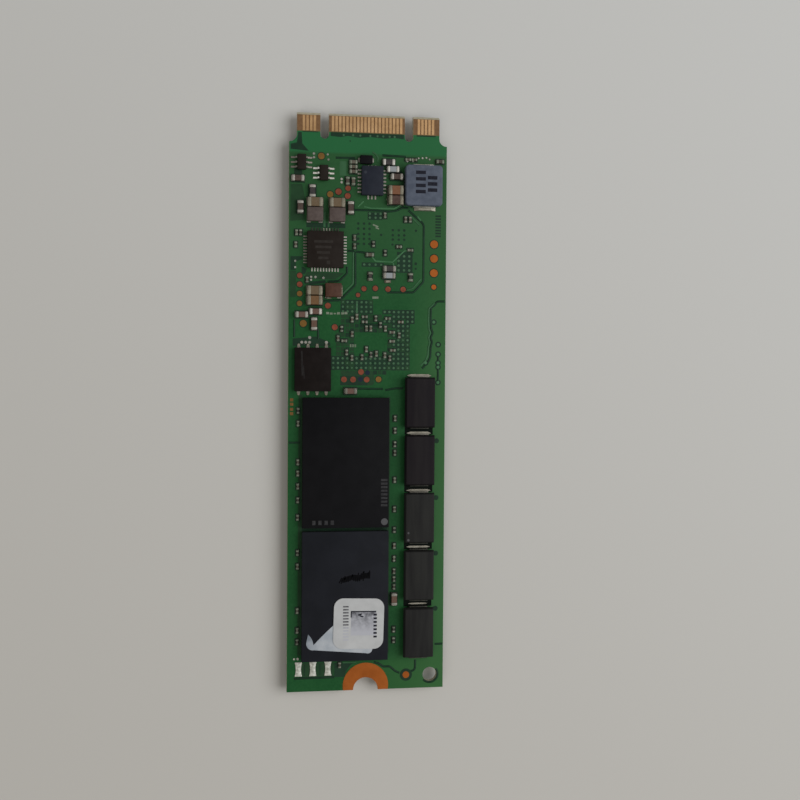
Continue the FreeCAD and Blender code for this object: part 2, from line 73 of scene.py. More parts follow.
# %% [markdown]
# The photograph looks almost straight down, from a little to the left and about 16 cm up. A camera can be
# turned by angles, but three axes worked out from known corners of the card are exact, so its matrix is
# filled with them directly: right, up and back, and the place they start from.

# %% Camera
scene = bpy.context.scene


def add_object(name, data):
    """A new object at the origin, linked to the scene."""
    thing = bpy.data.objects.new(name, data)
    scene.collection.objects.link(thing)
    return thing


lens = bpy.data.cameras.new("camera")
lens.sensor_width = 36
lens.lens = 52.96
lens.clip_start = 0.005
scene.camera = add_object("camera", lens)
camera_right = Vector((0.98764, 0.00709, 0.15661))
camera_up = Vector((-0.00295, 0.99964, -0.02667))
camera_back = Vector((-0.15674, 0.02588, 0.98730))
camera_place = Vector((-21.164, 4.831, 162.378 + TOP)) * MM
axes = Matrix((camera_right, camera_up, camera_back)).transposed().to_4x4()
scene.camera.matrix_world = Matrix.Translation(camera_place) @ axes
print("camera stands", round(camera_place.z / MM), "mm above the table")

# %% [markdown]
# A finish is a web of nodes, and most of its code would be adding and joining them. A small class keeps
# that short: one call adds a node and fills its inputs. The other calls are the few things that every
# finish here needs. Sizes are in millimetres, and colours in thousandths of full brightness.

# %% A helper that wires nodes
def shade(colour):
    return (*(part / 1000 for part in colour), 1)


class Wiring:
    """The nodes of a material, a world or a tree."""

    prefix = "ShaderNode"

    def __init__(self, tree):
        self.nodes, self.links = tree.nodes, tree.links

    def give(self, socket, value):
        """Link a socket to another, or to a node's first output, or set it to a constant."""
        if isinstance(value, bpy.types.Node):
            value = value.outputs[0]
        if isinstance(value, bpy.types.NodeSocket):
            self.links.new(value, socket)
        else:
            socket.default_value = value

    def add(self, kind, inputs=(), **settings):
        """A new node: settings are its own options, and inputs pairs a socket with what it is given."""
        node = self.nodes.new(kind if "Node" in kind else self.prefix + kind)
        for name, setting in settings.items():
            setattr(node, name, setting)
        for key, value in dict(inputs).items():
            self.give(node.inputs[key], value)
        return node

    def noise(self, size, detail=3.0, long=1.0):
        """Noise on Object coordinates: blobs of a size across, and long times that along Y."""
        place = self.add("TexCoord").outputs["Object"]
        drawn = self.add("Mapping", {"Vector": place, "Scale": (1.0, 1.0 / long, 1.0)})
        return self.add("TexNoise", {"Vector": drawn, "Scale": 1 / (size * MM), "Detail": detail})

    def stretch(self, value, low, high, out_low=0.0, out_high=1.0, curve="LINEAR"):
        """Spread the part of a value between low and high over a new range."""
        ends = {"Value": value, "From Min": low, "From Max": high, "To Min": out_low, "To Max": out_high}
        return self.add("MapRange", ends, interpolation_type=curve)

    def along(self, axis, start, end, out_low=0.0, out_high=1.0):
        """A value that changes from one place along an axis of the card to another."""
        place = self.add("SeparateXYZ", {"Vector": self.add("TexCoord").outputs["Object"]})
        return self.stretch(place.outputs[axis], start * MM, end * MM, out_low, out_high)

    def mixed(self, share, first, second):
        """Mix two colours, each a colour or a socket, by a share."""
        pair = [shade(colour) if isinstance(colour, tuple) else colour for colour in (first, second)]
        return self.add("Mix", {0: share, 6: pair[0], 7: pair[1]}, data_type="RGBA").outputs[2]

    def product(self, first, second):
        return self.add("Math", {0: first, 1: second}, operation="MULTIPLY")


# %% [markdown]
# Nearly every finish here is two colours that wander into each other, with a fine grain that also lifts
# and dulls the surface. So a coarse noise mixes the colours, and a fine one drives roughness and relief.

# %% Grained finishes
ROUGH_SPREAD = 0.07


class Finish(Wiring):
    """A material on its main shader."""

    def __init__(self, name, metal=0.0, specular=0.3):
        self.material = bpy.data.materials.new(name)
        self.material.use_nodes = True
        super().__init__(self.material.node_tree)
        self.shader = self.nodes["Principled BSDF"]
        self.set(Metallic=metal, Specular_IOR_Level=specular)

    def set(self, **inputs):
        for name, value in inputs.items():
            self.give(self.shader.inputs[name.replace("_", " ")], value)

    def covered(self, colour, fine, rough, relief):
        """Give the shader its colour, and from one fine grain its roughness and bumps."""
        grain = self.noise(fine)
        worn = self.stretch(grain, 0.3, 0.7, rough - ROUGH_SPREAD, rough + ROUGH_SPREAD)
        bump = self.add("Bump", {"Strength": 0.6, "Distance": relief * MM, "Height": grain})
        self.set(Base_Color=colour, Roughness=worn, Normal=bump)
        return self.material


def grained(name, dark, light, blotch, fine, rough, relief=0.004, metal=0.0, specular=0.3, long=1.0):
    paint = Finish(name, metal, specular)
    share = paint.stretch(paint.noise(blotch, long=long), 0.35, 0.65)
    return paint.covered(paint.mixed(share, dark, light), fine, rough, relief)


# %% [markdown]
# A pale table and a room of soft light. One broad lamp to the right stands for the window: it
# brightens right-hand edges and leaves the left-hand walls of the packages dark. A weak warm lamp and a
# grey world fill the shade. Rays that look, rather than light, see a pale backdrop, and far from the card
# the table fades into it, so no horizon shows from a low view.

# %% Table and light
BACKDROP = shade((450, 445, 420))
ROOM_GREY = shade((265, 265, 265))
FADE_START, FADE_END = 0.08, 0.5


def looking(wiring):
    """One for a ray that sees a thing, straight, mirrored or through glass, and none for one that lights."""
    ray = wiring.add("LightPath")
    share = ray.outputs["Is Camera Ray"]
    for name in ("Is Glossy Ray", "Is Transmission Ray"):
        share = wiring.add("Math", {0: share, 1: ray.outputs[name]}, operation="MAXIMUM")
    return share


def show(wiring, share, first, second, output):
    """Mix two shaders by a share, and send the result to the output node."""
    both = wiring.add("MixShader", {0: share, 1: first, 2: second})
    wiring.give(wiring.nodes[output].inputs["Surface"], both)


def plain_room():
    scene.world = bpy.data.worlds.new("room")
    scene.world.use_nodes = True
    room = Wiring(scene.world.node_tree)
    grey = room.nodes["Background"]
    room.give(grey.inputs["Color"], ROOM_GREY)
    show(room, looking(room), grey, room.add("Background", {"Color": BACKDROP}), "World Output")


def table_paper():
    """Paper with painted light: paler and cooler towards the back right, warmer towards the front left, and
    far from the middle it turns into the backdrop.
    """
    paper = Finish("table paper", specular=0.1)
    place = paper.add("TexCoord").outputs["Object"]
    slope = paper.add("VectorMath", {0: place, 1: (0.5, 1.0, 0.0)}, operation="DOT_PRODUCT")
    pale = paper.stretch(slope.outputs["Value"], -90 * MM, 110 * MM, curve="SMOOTHSTEP")
    # Painted light on the table: the paper pales towards the back right and is warmer towards the front left.
    paper.set(Roughness=0.9, Base_Color=paper.mixed(pale, (570, 555, 515), (660, 665, 645)))
    distance = paper.add("VectorMath", {0: paper.add("NewGeometry").outputs["Position"]}, operation="LENGTH")
    away = paper.stretch(distance.outputs["Value"], FADE_START, FADE_END, curve="SMOOTHSTEP")
    glow = paper.add("Emission", {"Color": BACKDROP})
    show(paper, paper.product(away, looking(paper)), paper.shader, glow, "Material Output")
    return paper.material


def plain_floor():
    sheet = bpy.data.meshes.new("table")
    sheet.from_pydata([(-2, -2, 0), (2, -2, 0), (2, 2, 0), (-2, 2, 0)], [], [(0, 1, 2, 3)])
    sheet.materials.append(table_paper())
    add_object("table", sheet)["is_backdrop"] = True


def soft_lamp(name, place, size, watts, colour):
    """A square lamp that faces the card."""
    lamp = bpy.data.lights.new(name, "AREA")
    lamp.size = size
    lamp.energy = watts
    lamp.color = colour
    holder = add_object(name, lamp)
    holder.location = place
    holder.rotation_mode = "QUATERNION"
    holder.rotation_quaternion = (-Vector(place)).to_track_quat("-Z", "Y")


plain_floor()
plain_room()
soft_lamp("window", (0.55, 0.03, 0.63), 0.7, 4.5, (0.99, 0.99, 1.0))
soft_lamp("room", (-0.3, -0.4, 0.7), 0.6, 0.9, (1.0, 0.9, 0.78))
scene.view_settings.view_transform = "Standard"
print("lamps", len(bpy.data.lights))

# %% [markdown]
# The card is glass fibre and resin under a green lacquer. The lacquer covers both faces, but stops short
# of the contacts, and the sawn edges show the pale laminate with its buried layers. One material can tell
# these apart: by which way a face points, and by how far along the card it is. The lacquer is also
# painted paler in four fields as painted light: down the right-hand side, over the upper half, at the
# screw end, and in a highlight band by the contacts.

# %% The card's own finish
def card_finish():
    paint = Finish("card lacquer and laminate", 0.0, 0.12)
    lean = paint.add("SeparateXYZ", {"Vector": paint.add("NewGeometry").outputs["True Normal"]})
    on_face = paint.stretch(paint.add("Math", {0: lean.outputs["Z"]}, operation="ABSOLUTE"), 0.90, 0.95)
    lacquered = paint.product(on_face, paint.along("Y", 37.42, 37.52, 1.0, 0.0))
    broad = paint.stretch(paint.noise(5.0, 2.0), 0.35, 0.65)
    weave = paint.stretch(paint.noise(0.35, 4.0), 0.3, 0.7)
    green = paint.mixed(0.5, paint.mixed(broad, (8, 74, 19), (12, 87, 24)),
                        paint.mixed(weave, (5, 64, 15), (16, 99, 27)))
    # Painted light: the lacquer is paler down the right-hand side, over the upper half and at the screw end,
    # with a painted highlight band by the contacts.
    painted_light_right = paint.product(paint.along("X", 5.5, 9.5, 0.0, 0.85), paint.along("Y", 4, 16, 1.0, 0.45))
    painted_light_upper = paint.along("Y", 13, 24, 0.0, 0.5)
    painted_light_screw_end = paint.product(paint.along("X", -3, 5, 0.0, 0.6), paint.along("Y", -34, -36.5))
    painted_highlight_band = paint.along("Y", 34.4, 34.8, 0.0, 0.75)
    for share, paler in ((painted_light_right, (41, 135, 43)), (painted_light_upper, (33, 104, 38)),
                         (painted_light_screw_end, (36, 128, 36)), (painted_highlight_band, (18, 146, 50))):
        green = paint.mixed(share, green, paler)
    layers = paint.stretch(paint.noise(0.5, 4.0), 0.3, 0.7)
    sawn = paint.mixed(layers, (380, 340, 235), (470, 440, 330))
    between_contacts = paint.mixed(layers, (165, 86, 38), (225, 128, 62))
    laminate = paint.mixed(on_face, sawn, between_contacts)
    return paint.covered(paint.mixed(lacquered, laminate, green), 0.3, 0.42, 0.004)


lacquer = card_finish()
print("card finish has", len(lacquer.node_tree.nodes), "nodes")

# %% [markdown]
# The other finishes are two colours and a grain each. The lacquer is darker where there is no copper
# under it and paler over a trace; copper is bare, dull or thinly gilt; solder is bright or creamy; and
# the moulding compounds are black, but not equally black.

# %% Lacquer, metal, compound and ink
def coat(name, dark, light, blotch=1.5, rough=0.45, specular=0.15):
    return grained(name, dark, light, blotch, 0.2, rough, specular=specular)


def metal(name, dark, light, blotch, rough, relief, share, fine=0.12):
    return grained(name, dark, light, blotch, fine, rough, relief, share)


def matt(name, dark, light, blotch, fine, rough, relief, specular=0.3, long=1.0):
    return grained(name, dark, light, blotch, fine, rough, relief, 0.0, specular, long)


# The dark lacquer is also painted shade: in the slit between the flash packages, round the chips and at the
# tooling hole.
dark_lacquer_and_shade = coat("dark lacquer with no copper, also painted shade", (6, 27, 13), (9, 38, 18))
# The mid-dark lacquer is also painted shadow, in strips beside the flash packages.
shaded_lacquer = coat("mid-dark lacquer, also painted shade", (11, 44, 16), (15, 57, 21))
trace_lacquer = coat("lacquer over a trace", (44, 150, 60), (58, 178, 76), 1.5, 0.4, 0.2)
via_lacquer = coat("lacquer in a filled via", (40, 115, 52), (60, 145, 72), 0.8, 0.45, 0.2)
pale_lacquer = coat("lacquer over a copper edge", (27, 100, 38), (36, 122, 50), 1.5, 0.42, 0.2)
# Painted shade: near black, for the floor of the deep gaps between the capacitors.
gap_shade_lacquer = coat("painted shade deep in a gap", (2, 4, 3), (3, 6, 4), 1.5, 0.5, 0.05)
blue_lacquer = coat("dark blue dot", (6, 14, 27), (9, 20, 36), 0.5)
gold = metal("worn gold", (395, 236, 112), (500, 312, 157), 1.2, 0.42, 0.002, 0.8)
copper = metal("bare copper", (262, 69, 8.8), (315, 87, 13.5), 1.4, 0.45, 0.002, 0.7)
dull_copper = metal("dull copper", (160, 40, 20), (220, 56, 27), 0.5, 0.5, 0.003, 0.5)
pad_gold = metal("thinly gilt copper", (155, 82, 18), (205, 104, 23), 0.6, 0.48, 0.003, 0.6)
golden_copper = metal("browned copper", (140, 72, 19), (205, 100, 28), 0.4, 0.5, 0.003, 0.5)
bright_solder = metal("bright solder", (320, 325, 280), (600, 605, 550), 0.35, 0.45, 0.006, 0.4)
solder = metal("solder", (195, 192, 168), (365, 358, 322), 1.3, 0.48, 0.006, 0.7)
cream_solder = metal("cream solder", (175, 162, 122), (255, 236, 182), 0.8, 0.5, 0.006, 0.6)
strip_solder = metal("wide strip of solder", (230, 215, 175), (330, 312, 258), 0.8, 0.45, 0.006, 0.6)
pale_solder = metal("pale solder", (135, 158, 120), (245, 270, 212), 1.0, 0.55, 0.006, 0.5)
tin = metal("tinned lead", (220, 210, 185), (340, 325, 290), 0.6, 0.55, 0.003, 0.7, 0.1)
compound = matt("moulding compound", (4.4, 4.4, 5.4), (6, 6, 7.2), 2.0, 0.09, 0.58, 0.006, 0.07)
grey_compound = matt("greyer compound", (10.4, 11.5, 15.3), (13, 14.3, 19), 2.5, 0.09, 0.6, 0.006, 0.08)
chip_compound = matt("blue black compound", (17, 20.3, 30.5), (21.8, 25.8, 37), 1.0, 0.08, 0.55, 0.005, 0.09)
brown_compound = matt("brown black compound", (15, 11, 8.8), (20.5, 15.8, 13), 1.2, 0.08, 0.58, 0.005, 0.08)
dark_compound = matt("dark brown compound", (8, 5.8, 5.2), (11.7, 8.9, 8.2), 1.2, 0.08, 0.58, 0.005, 0.06)
capacitor_resin = matt("capacitor resin", (14, 13.8, 14), (22.5, 22.7, 21.4), 0.8, 0.12, 0.62, 0.008, 0.1, 9)
dark_resin = matt("darker resin", (9.4, 7.5, 9.6), (14.5, 12.3, 13.6), 0.8, 0.12, 0.62, 0.008, 0.1, 9)
iron = matt("pressed iron powder", (75, 92, 128), (105, 125, 168), 0.8, 0.1, 0.55, 0.012, 0.2)
grey_ferrite = matt("grey ferrite", (80, 60, 54), (108, 84, 75), 0.6, 0.09, 0.6, 0.008, 0.2)
brown_ferrite = matt("brown ferrite", (62, 27, 16), (90, 42, 27), 0.6, 0.09, 0.6, 0.008, 0.2)
package_board = matt("package laminate", (20, 26, 12), (34, 40, 20), 0.6, 0.1, 0.6, 0.004)
white_paper = matt("label paper", (480, 490, 490), (540, 550, 550), 1.8, 0.12, 0.65, 0.003)
silk_ink = matt("pale legend ink", (150, 190, 130), (220, 260, 190), 0.4, 0.1, 0.7, 0.004)
black_ink = matt("dark print", (8, 9, 16), (15, 16, 26), 0.3, 0.08, 0.6, 0.001, 0.12)
grey_print = matt("grey print", (55, 55, 62), (130, 130, 140), 0.4, 0.08, 0.6, 0.001)
marker = matt("marker smear", (1.9, 2, 2.7), (3.4, 3.6, 4.4), 0.4, 0.08, 0.7, 0.001, 0.05)
etched = matt("laser mark", (14, 14, 16), (34, 34, 36), 0.3, 0.08, 0.75, 0.002)
scuffed = matt("scuffed compound", (10, 9, 9), (21, 19, 18), 0.4, 0.1, 0.6, 0.002, 0.12)
faint_mark = matt("faint mark", (21, 17, 14), (30, 25, 21), 0.5, 0.1, 0.6, 0.002, 0.15)
blue_scuff = matt("bluish dot", (28, 32, 43), (36, 41, 54), 0.5, 0.1, 0.6, 0.002, 0.15)
pin_dot = matt("laser dot", (70, 70, 74), (90, 90, 94), 0.3, 0.08, 0.75, 0.002)
print("finishes", len(bpy.data.materials))

# %% [markdown]
# Chips in one group aren't all alike: some are tan, some brown, a few nearly white. Each loose block can
# carry a number of its own, stored on its faces, and the finish picks its colour by that number.

# %% A finish that differs from chip to chip
def piece_finish(name, stops, metal=0.0):
    paint = Finish(name, metal)
    ramp = paint.add("ValToRGB", {"Fac": paint.add("Attribute", attribute_name="tint").outputs["Fac"]})
    ramp.color_ramp.interpolation = "CONSTANT"
    elements = ramp.color_ramp.elements
    while len(elements) < len(stops):
        elements.new(0.5)
    for number, colour in enumerate(stops):
        elements[number].position = number / len(stops)
        elements[number].color = shade(colour)
    dust = paint.stretch(paint.noise(0.25), 0.3, 0.7, 0.0, 0.12)
    return paint.covered(paint.mixed(dust, ramp, (300, 240, 180)), 0.08, 0.5, 0.004)


tan_ceramic = piece_finish("tan ceramic", ((125, 84, 42), (142, 68, 19), (180, 66, 24), (56, 24, 18)))
brown_ceramic = piece_finish(
    "brown ceramic", ((16, 16, 19), (105, 52, 34), (48, 28, 22), (120, 62, 47), (300, 330, 345)))
fine_ceramic = piece_finish(
    "fine ceramic", ((82, 68, 48), (88, 64, 48), (42, 34, 27), (104, 96, 72), (14, 13, 13)))
# Painted light: the darkest stop is a lead in shade, the brightest a glint.
tin_lit_and_shaded = piece_finish("tin lit and shaded by row", ((30, 34, 30), (200, 190, 165), (410, 400, 365), (860, 860, 820)), 0.6)
# Painted glints: the brightest stops light up some chip ends, the darkest leave others in shade.
solder_with_glints = piece_finish(
    "solder with painted glints by piece", ((135, 130, 110), (220, 215, 190), (330, 320, 290), (480, 470, 435)), 0.6)

# %% [markdown]
# Faded print on the label runs from dark at its top to nothing lower down. A finish can do that alone:
# it mixes ink into paper by the height along the card, and a noise makes the edge of the fading uneven.
# The torn film under the label thins out towards its tip in the same way.

# %% Faded print and torn film
def faded_print():
    paint = Finish("faded print", 0.0, 0.2)
    blot = paint.stretch(paint.noise(0.6), 0.35, 0.65, 0.15, 0.9)
    amount = paint.product(paint.along("Y", -31.6, -28.7), blot)
    return paint.covered(paint.mixed(amount, (470, 480, 520), (30, 30, 40)), 0.12, 0.65, 0.001)


def thin_film():
    paint = Finish("torn label film", 0.0, 0.25)
    patchy = paint.stretch(paint.noise(1.4), 0.35, 0.65)
    thin = paint.mixed(patchy, (150, 180, 210), (330, 370, 410))
    whole = paint.mixed(patchy, (360, 400, 440), (470, 500, 530))
    return paint.covered(paint.mixed(paint.along("X", -8.6, -6.2), thin, whole), 0.2, 0.55, 0.004)


grey_ink = faded_print()
torn_film = thin_film()

# %% [markdown]
# Helpers for the pieces themselves. Everything on the card rides on its one body. A CAD mesh is loose
# triangles, so a copy is merged first; then its separate solids can be counted, measured and bevelled.

# %% Helpers for pieces
def hang(mesh, name, finish, slot, *nodes):
    """Put a finished mesh on the card, and hide the CAD nodes it stands for."""
    mesh.materials.clear()
    mesh.materials.append(finish)
    for face in mesh.polygons:
        face.material_index = 0
    piece = add_object(name, mesh)
    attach(piece, "root")
    if nodes:
        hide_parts(*nodes)


def merged(node):
    shape = bmesh.new()
    shape.from_mesh(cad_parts[node].data)
    bmesh.ops.remove_doubles(shape, verts=shape.verts, dist=0.001 * MM)
    return shape


def loose_blocks(shape):
    """Groups of faces that hang together, in a fixed order."""
    waiting = set(shape.faces)
    blocks = []
    for start in shape.faces:
        if start not in waiting:
            continue
        waiting.discard(start)
        block = [start]
        for face in block:
            for other in (near for edge in face.edges for near in edge.link_faces):
                if other in waiting:
                    waiting.discard(other)
                    block.append(other)
        blocks.append(block)
    return blocks


def block_boxes(node):
    """Lowest and highest corner of each loose block of a node, in millimetres."""
    shape = merged(node)
    boxes = []
    for block in loose_blocks(shape):
        corners = [vert.co / MM for face in block for vert in face.verts]
        boxes.append([Vector([pick(corner[axis] for corner in corners) for axis in range(3)])
                      for pick in (min, max)])
    shape.free()
    return boxes


def softened(node, edge, finish, slot, steps=2, tones=()):
    """A copy of a CAD node with rounded edges, standing for it; tones give the tint near a place."""
    shape = merged(node)
    bmesh.ops.dissolve_limit(shape, angle_limit=math.radians(1), verts=shape.verts, edges=shape.edges)
    sharp = [line for line in shape.edges if line.calc_face_angle(0) > math.radians(25)]
    bmesh.ops.bevel(shape, geom=sharp, offset=edge * MM, segments=steps, profile=0.5, affect="EDGES",
                    clamp_overlap=True)
    tint = shape.faces.layers.float.new("tint")
    chance = random.Random(7)
    for block in loose_blocks(shape):
        share = chance.random()
        middle = sum((face.calc_center_median() for face in block), Vector()) / len(block) / MM
        for x, y, reach, tone in tones:
            if abs(middle.x - x) < reach and abs(middle.y - y) < reach:
                share = tone
        for face in block:
            face[tint] = share
            face.smooth = True
    mesh = bpy.data.meshes.new(node + "_soft")
    shape.to_mesh(mesh)
    shape.free()
    mesh.set_sharp_from_angle(angle=math.radians(40))
    hang(mesh, node + "_soft", finish, slot, node)


# %% [markdown]
# Now the trees of Geometry Nodes. The first follows a path: it turns the edges of a mesh into curves,
# rounds their corners and sweeps a flat section along them. Gaps in the copper and traces are made so.
# Every tree has named inputs, and ends by realizing what it made and giving it its material.

# %% A tree that sweeps a flat strip along paths
class GeometryTree(Wiring):
    """A tree whose named inputs are a start mesh, sizes and a material."""

    prefix = "GeometryNode"

    def __init__(self, title, **sizes):
        self.tree = bpy.data.node_groups.new(title, "GeometryNodeTree")
        super().__init__(self.tree)
        sockets = self.tree.interface
        sockets.new_socket("Geometry", in_out="INPUT", socket_type="NodeSocketGeometry")
        for name, value in sizes.items():
            sockets.new_socket(name, in_out="INPUT", socket_type="NodeSocketFloat").default_value = value
        sockets.new_socket("Material", in_out="INPUT", socket_type="NodeSocketMaterial")
        sockets.new_socket("Geometry", in_out="OUTPUT", socket_type="NodeSocketGeometry")
        self.given = self.add("NodeGroupInput").outputs

    def closed(self, last):
        whole = self.add("RealizeInstances", {"Geometry": last})
        coloured = self.add("SetMaterial", {"Geometry": whole, "Material": self.given["Material"]})
        self.add("NodeGroupOutput", {"Geometry": coloured})
        return self.tree


def strip_tree():
    tree = GeometryTree("flat strips along paths", Width=0.2 * MM, Thickness=0.012 * MM, Corner=0.3 * MM)
    given = tree.given
    path = tree.add("MeshToCurve", {"Mesh": given["Geometry"]})
    corners = {"Curve": path, "Radius": given["Corner"], "Count": 4, "Limit Radius": True}
    level = tree.add("SetCurveNormal", {"Curve": tree.add("FilletCurve", corners, mode="POLY")}, mode="Z_UP")
    section = tree.add("CurvePrimitiveQuadrilateral", {"Width": given["Width"], "Height": given["Thickness"]})
    return tree.closed(tree.add("CurveToMesh", {"Curve": level, "Profile Curve": section, "Fill Caps": True}))


def grow(tree, start, name, finish, slot="solder_mask", nodes=(), **sizes):
    """Run a tree on a start mesh, keep the result as a plain mesh, and hang it on the card."""
    holder = add_object(name + "_start", start)
    modifier = holder.modifiers.new("grow", "NODES")
    modifier.node_group = tree
    sockets = {item.name: item.identifier for item in tree.interface.items_tree if item.in_out == "INPUT"}
    modifier[sockets["Material"]] = finish
    for size, value in sizes.items():
        modifier[sockets[size]] = value * MM
    held = holder.evaluated_get(bpy.context.evaluated_depsgraph_get())
    mesh = bpy.data.meshes.new_from_object(held)
    holder.modifiers.remove(modifier)
    bpy.data.objects.remove(holder)
    mesh.name = name
    print(name, len(mesh.polygons), "faces")
    hang(mesh, name, finish, slot, *nodes)


def paths(lines, z=TOP):
    """A mesh of edges from lists of X and Y in millimetres."""
    points, edges = [], []
    for line in lines:
        first = len(points)
        points += [(x * MM, y * MM, z * MM) for x, y in line]
        edges += [(first + step, first + step + 1) for step in range(len(line) - 1)]
    mesh = bpy.data.meshes.new("paths")
    mesh.from_pydata(points, edges, [])
    return mesh


flat_strips = strip_tree()

# %% [markdown]
# The second tree puts one small shape on many points. Each point carries its own size and turn, so one
# tree serves round pads, vias, printed bars, solder balls and mounds of solder; only the shape differs.

# %% A tree that puts a shape on points
def scatter_tree(title, shape_kind, settings, twist=0):
    tree = GeometryTree(title, Scale=1.0)
    shape = tree.add("Mesh" + shape_kind, settings)
    squared = tree.add("Transform", {"Geometry": shape, "Rotation": (0, 0, math.radians(twist))})
    size, turn = [tree.add("InputNamedAttribute", {"Name": name}, data_type="FLOAT_VECTOR")
                  for name in ("size", "turn")]
    larger = tree.add("ShaderNodeVectorMath", {0: size, "Scale": tree.given["Scale"]}, operation="SCALE")
    return tree.closed(tree.add("InstanceOnPoints", {
        "Points": tree.given["Geometry"], "Instance": squared, "Scale": larger, "Rotation": turn}))


def spots(places):
    """A mesh of points: each place is a centre, a size in millimetres and a turn about Z in degrees."""
    mesh = bpy.data.meshes.new("spots")
    mesh.from_pydata([Vector(centre) * MM for centre, size, turn in places], [], [])
    sizes = mesh.attributes.new("size", "FLOAT_VECTOR", "POINT")
    turns = mesh.attributes.new("turn", "FLOAT_VECTOR", "POINT")
    for number, (centre, size, turn) in enumerate(places):
        sizes.data[number].vector = Vector(size) * MM
        turns.data[number].vector = (0, 0, math.radians(turn))
    return mesh


def flat(places, thickness, base=TOP, step=0.0):
    """Marks that lie on a face, each a step higher: X, Y, a width, and for bars a length and any turn."""
    marks = []
    for number, (x, y, wide, *rest) in enumerate(places):
        long, turn = (*rest, 0)[:2] if rest else (wide, 0)
        high = thickness + step * number
        marks.append(((x, y, base + high / 2), (wide, long, high), turn))
    return spots(marks)


discs = scatter_tree("round discs on points", "Cylinder", {"Vertices": 24, "Radius": 0.5, "Depth": 1.0})
dots = scatter_tree("small dots on points", "Cylinder", {"Vertices": 10, "Radius": 0.5, "Depth": 1.0})
bars = scatter_tree("bars on points", "Cube", {"Size": (1, 1, 1)})
balls = scatter_tree("balls on points", "UVSphere", {"Segments": 10, "Rings": 7, "Radius": 0.5})
mounds = scatter_tree("solder mounds on points", "Cone",
                      {"Vertices": 4, "Radius Top": 0.42, "Radius Bottom": 0.7071, "Depth": 1.0}, 45)

# %% [markdown]
# The card, its contacts, screw pads and labels, and the laminate under each package, keep their CAD shape
# and only take a finish.

# %% Dress what keeps its shape
dressed = {"circuit_board": lacquer, "edge_contacts_front": gold, "edge_contacts_back": gold,
           "screw_pad_front": copper, "screw_pad_back": copper, "torn_label": torn_film,
           "code_label": white_paper}
dressed.update({name: package_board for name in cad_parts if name.endswith("_substrate")})
for name, finish in dressed.items():
    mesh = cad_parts[name].data
    mesh.materials.clear()
    mesh.materials.append(finish)
print("nodes that keep their shape", len(dressed))

# %% [markdown]
# Where the copper stops, the lacquer looks darker. The broad dark areas are thin plates cut to outline; the
# plates in the slit between the flash packages, in strips beside those packages and in the gaps between the
# capacitors are painted shade.
# From here on flat marks that could meet have different heights, because two faces at one height flicker.

# %% Dark and pale areas of lacquer
HEIGHTS = {"shaded_lacquer_areas": 0.004, "dark_lacquer_and_shade_areas": 0.006, "capacitor_gap_shade": 0.006,
           "pale_lacquer_areas": 0.0075, "grey_via_cells": 0.008, "dark_via_cells": 0.009,
           "pad_openings": 0.011, "chip_openings_and_shade": 0.0112, "hidden_ring_gaps": 0.012, "ring_gaps": 0.0123,
           "dark_vias": 0.013, "edge_ticks": 0.0135, "legend_marks": 0.014, "blue_dots": 0.016,
           "pale_vias": 0.02, "through_vias": 0.02, "ring_centres": 0.024, "copper_gaps_and_hole_shade": 0.03,
           "copper_edges": 0.033, "copper_traces": 0.036, "solder_dots": 0.05}


def plates(outlines, thickness, base=TOP):
    """Thin closed plates from lists of X and Y."""
    shape = bmesh.new()
    for outline in outlines:
        face = shape.faces.new([shape.verts.new((x * MM, y * MM, base * MM)) for x, y in outline])
        face.normal_update()
        if face.normal.z < 0:
            face.normal_flip()
        risen = bmesh.ops.extrude_face_region(shape, geom=[face], use_keep_orig=True)
        lifted = [item for item in risen["geom"] if isinstance(item, bmesh.types.BMVert)]
        bmesh.ops.translate(shape, verts=lifted, vec=(0, 0, thickness * MM))
    bmesh.ops.recalc_face_normals(shape, faces=shape.faces)
    mesh = bpy.data.meshes.new("plates")
    shape.to_mesh(mesh)
    shape.free()
    return mesh


def rectangle(left, low, right, high):
    return (left, low), (right, low), (right, high), (left, high)


dark_and_shade_areas = (
    ((-10.8, 34.95), (-8.3, 34.75), (-9.2, 35.75), (-9.3, 37.3), (-9.75, 37.3), (-9.95, 35.85),
     (-10.8, 35.65)),
    ((-5.3, 36.9), (-3.9, 36.8), (-2.9, 37.0), (-1.4, 36.8), (0.3, 36.95), (2.2, 36.8), (3.6, 36.95),
     (4.9, 36.8), (4.9, 37.44), (-5.3, 37.44)),
    rectangle(-9.2, 37.33, -7.0, 37.44),
    rectangle(6.7, 37.28, 9.4, 37.44),
    ((-4.4, -38.1), (-2.95, -38.1), (-2.75, -37.3), (-2.15, -36.5), (-1.8, -36.2), (-4.4, -36.1)),
    ((-10.75, 18.4), (-10.0, 18.4), (-10.0, 19.6), (-9.1, 19.9), (-9.1, 20.3), (-10.75, 20.3)),
    ((-8.2, 16.4), (-5.9, 16.75), (-5.9, 17.1), (-7.0, 16.95), (-8.2, 16.85)),
    ((-9.2, 17.9), (-8.7, 17.9), (-8.5, 18.6), (-9.2, 18.9)),
    rectangle(-8.6, 24.3, -3.2, 24.95),
    rectangle(-10.3, 31.5, -9.2, 32.4),
    ((-10.4, 8.0), (-5.2, 8.0), (-5.2, 8.5), (-7.2, 9.3), (-10.4, 9.0)),
    # Painted shadow: the slit between the two flash packages.
    rectangle(-9.05, -17.7, 2.95, -17.0),
    rectangle(-3.8, 2.6, 0.0, 3.9),
    rectangle(4.05, 18.3, 6.25, 21.2),
    rectangle(-0.9, 19.05, 2.2, 19.65),
    rectangle(-0.1, 25.55, 1.95, 26.6),
)
capacitors = [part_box("hold_up_capacitor_%d_case" % number) for number in range(1, 6)]
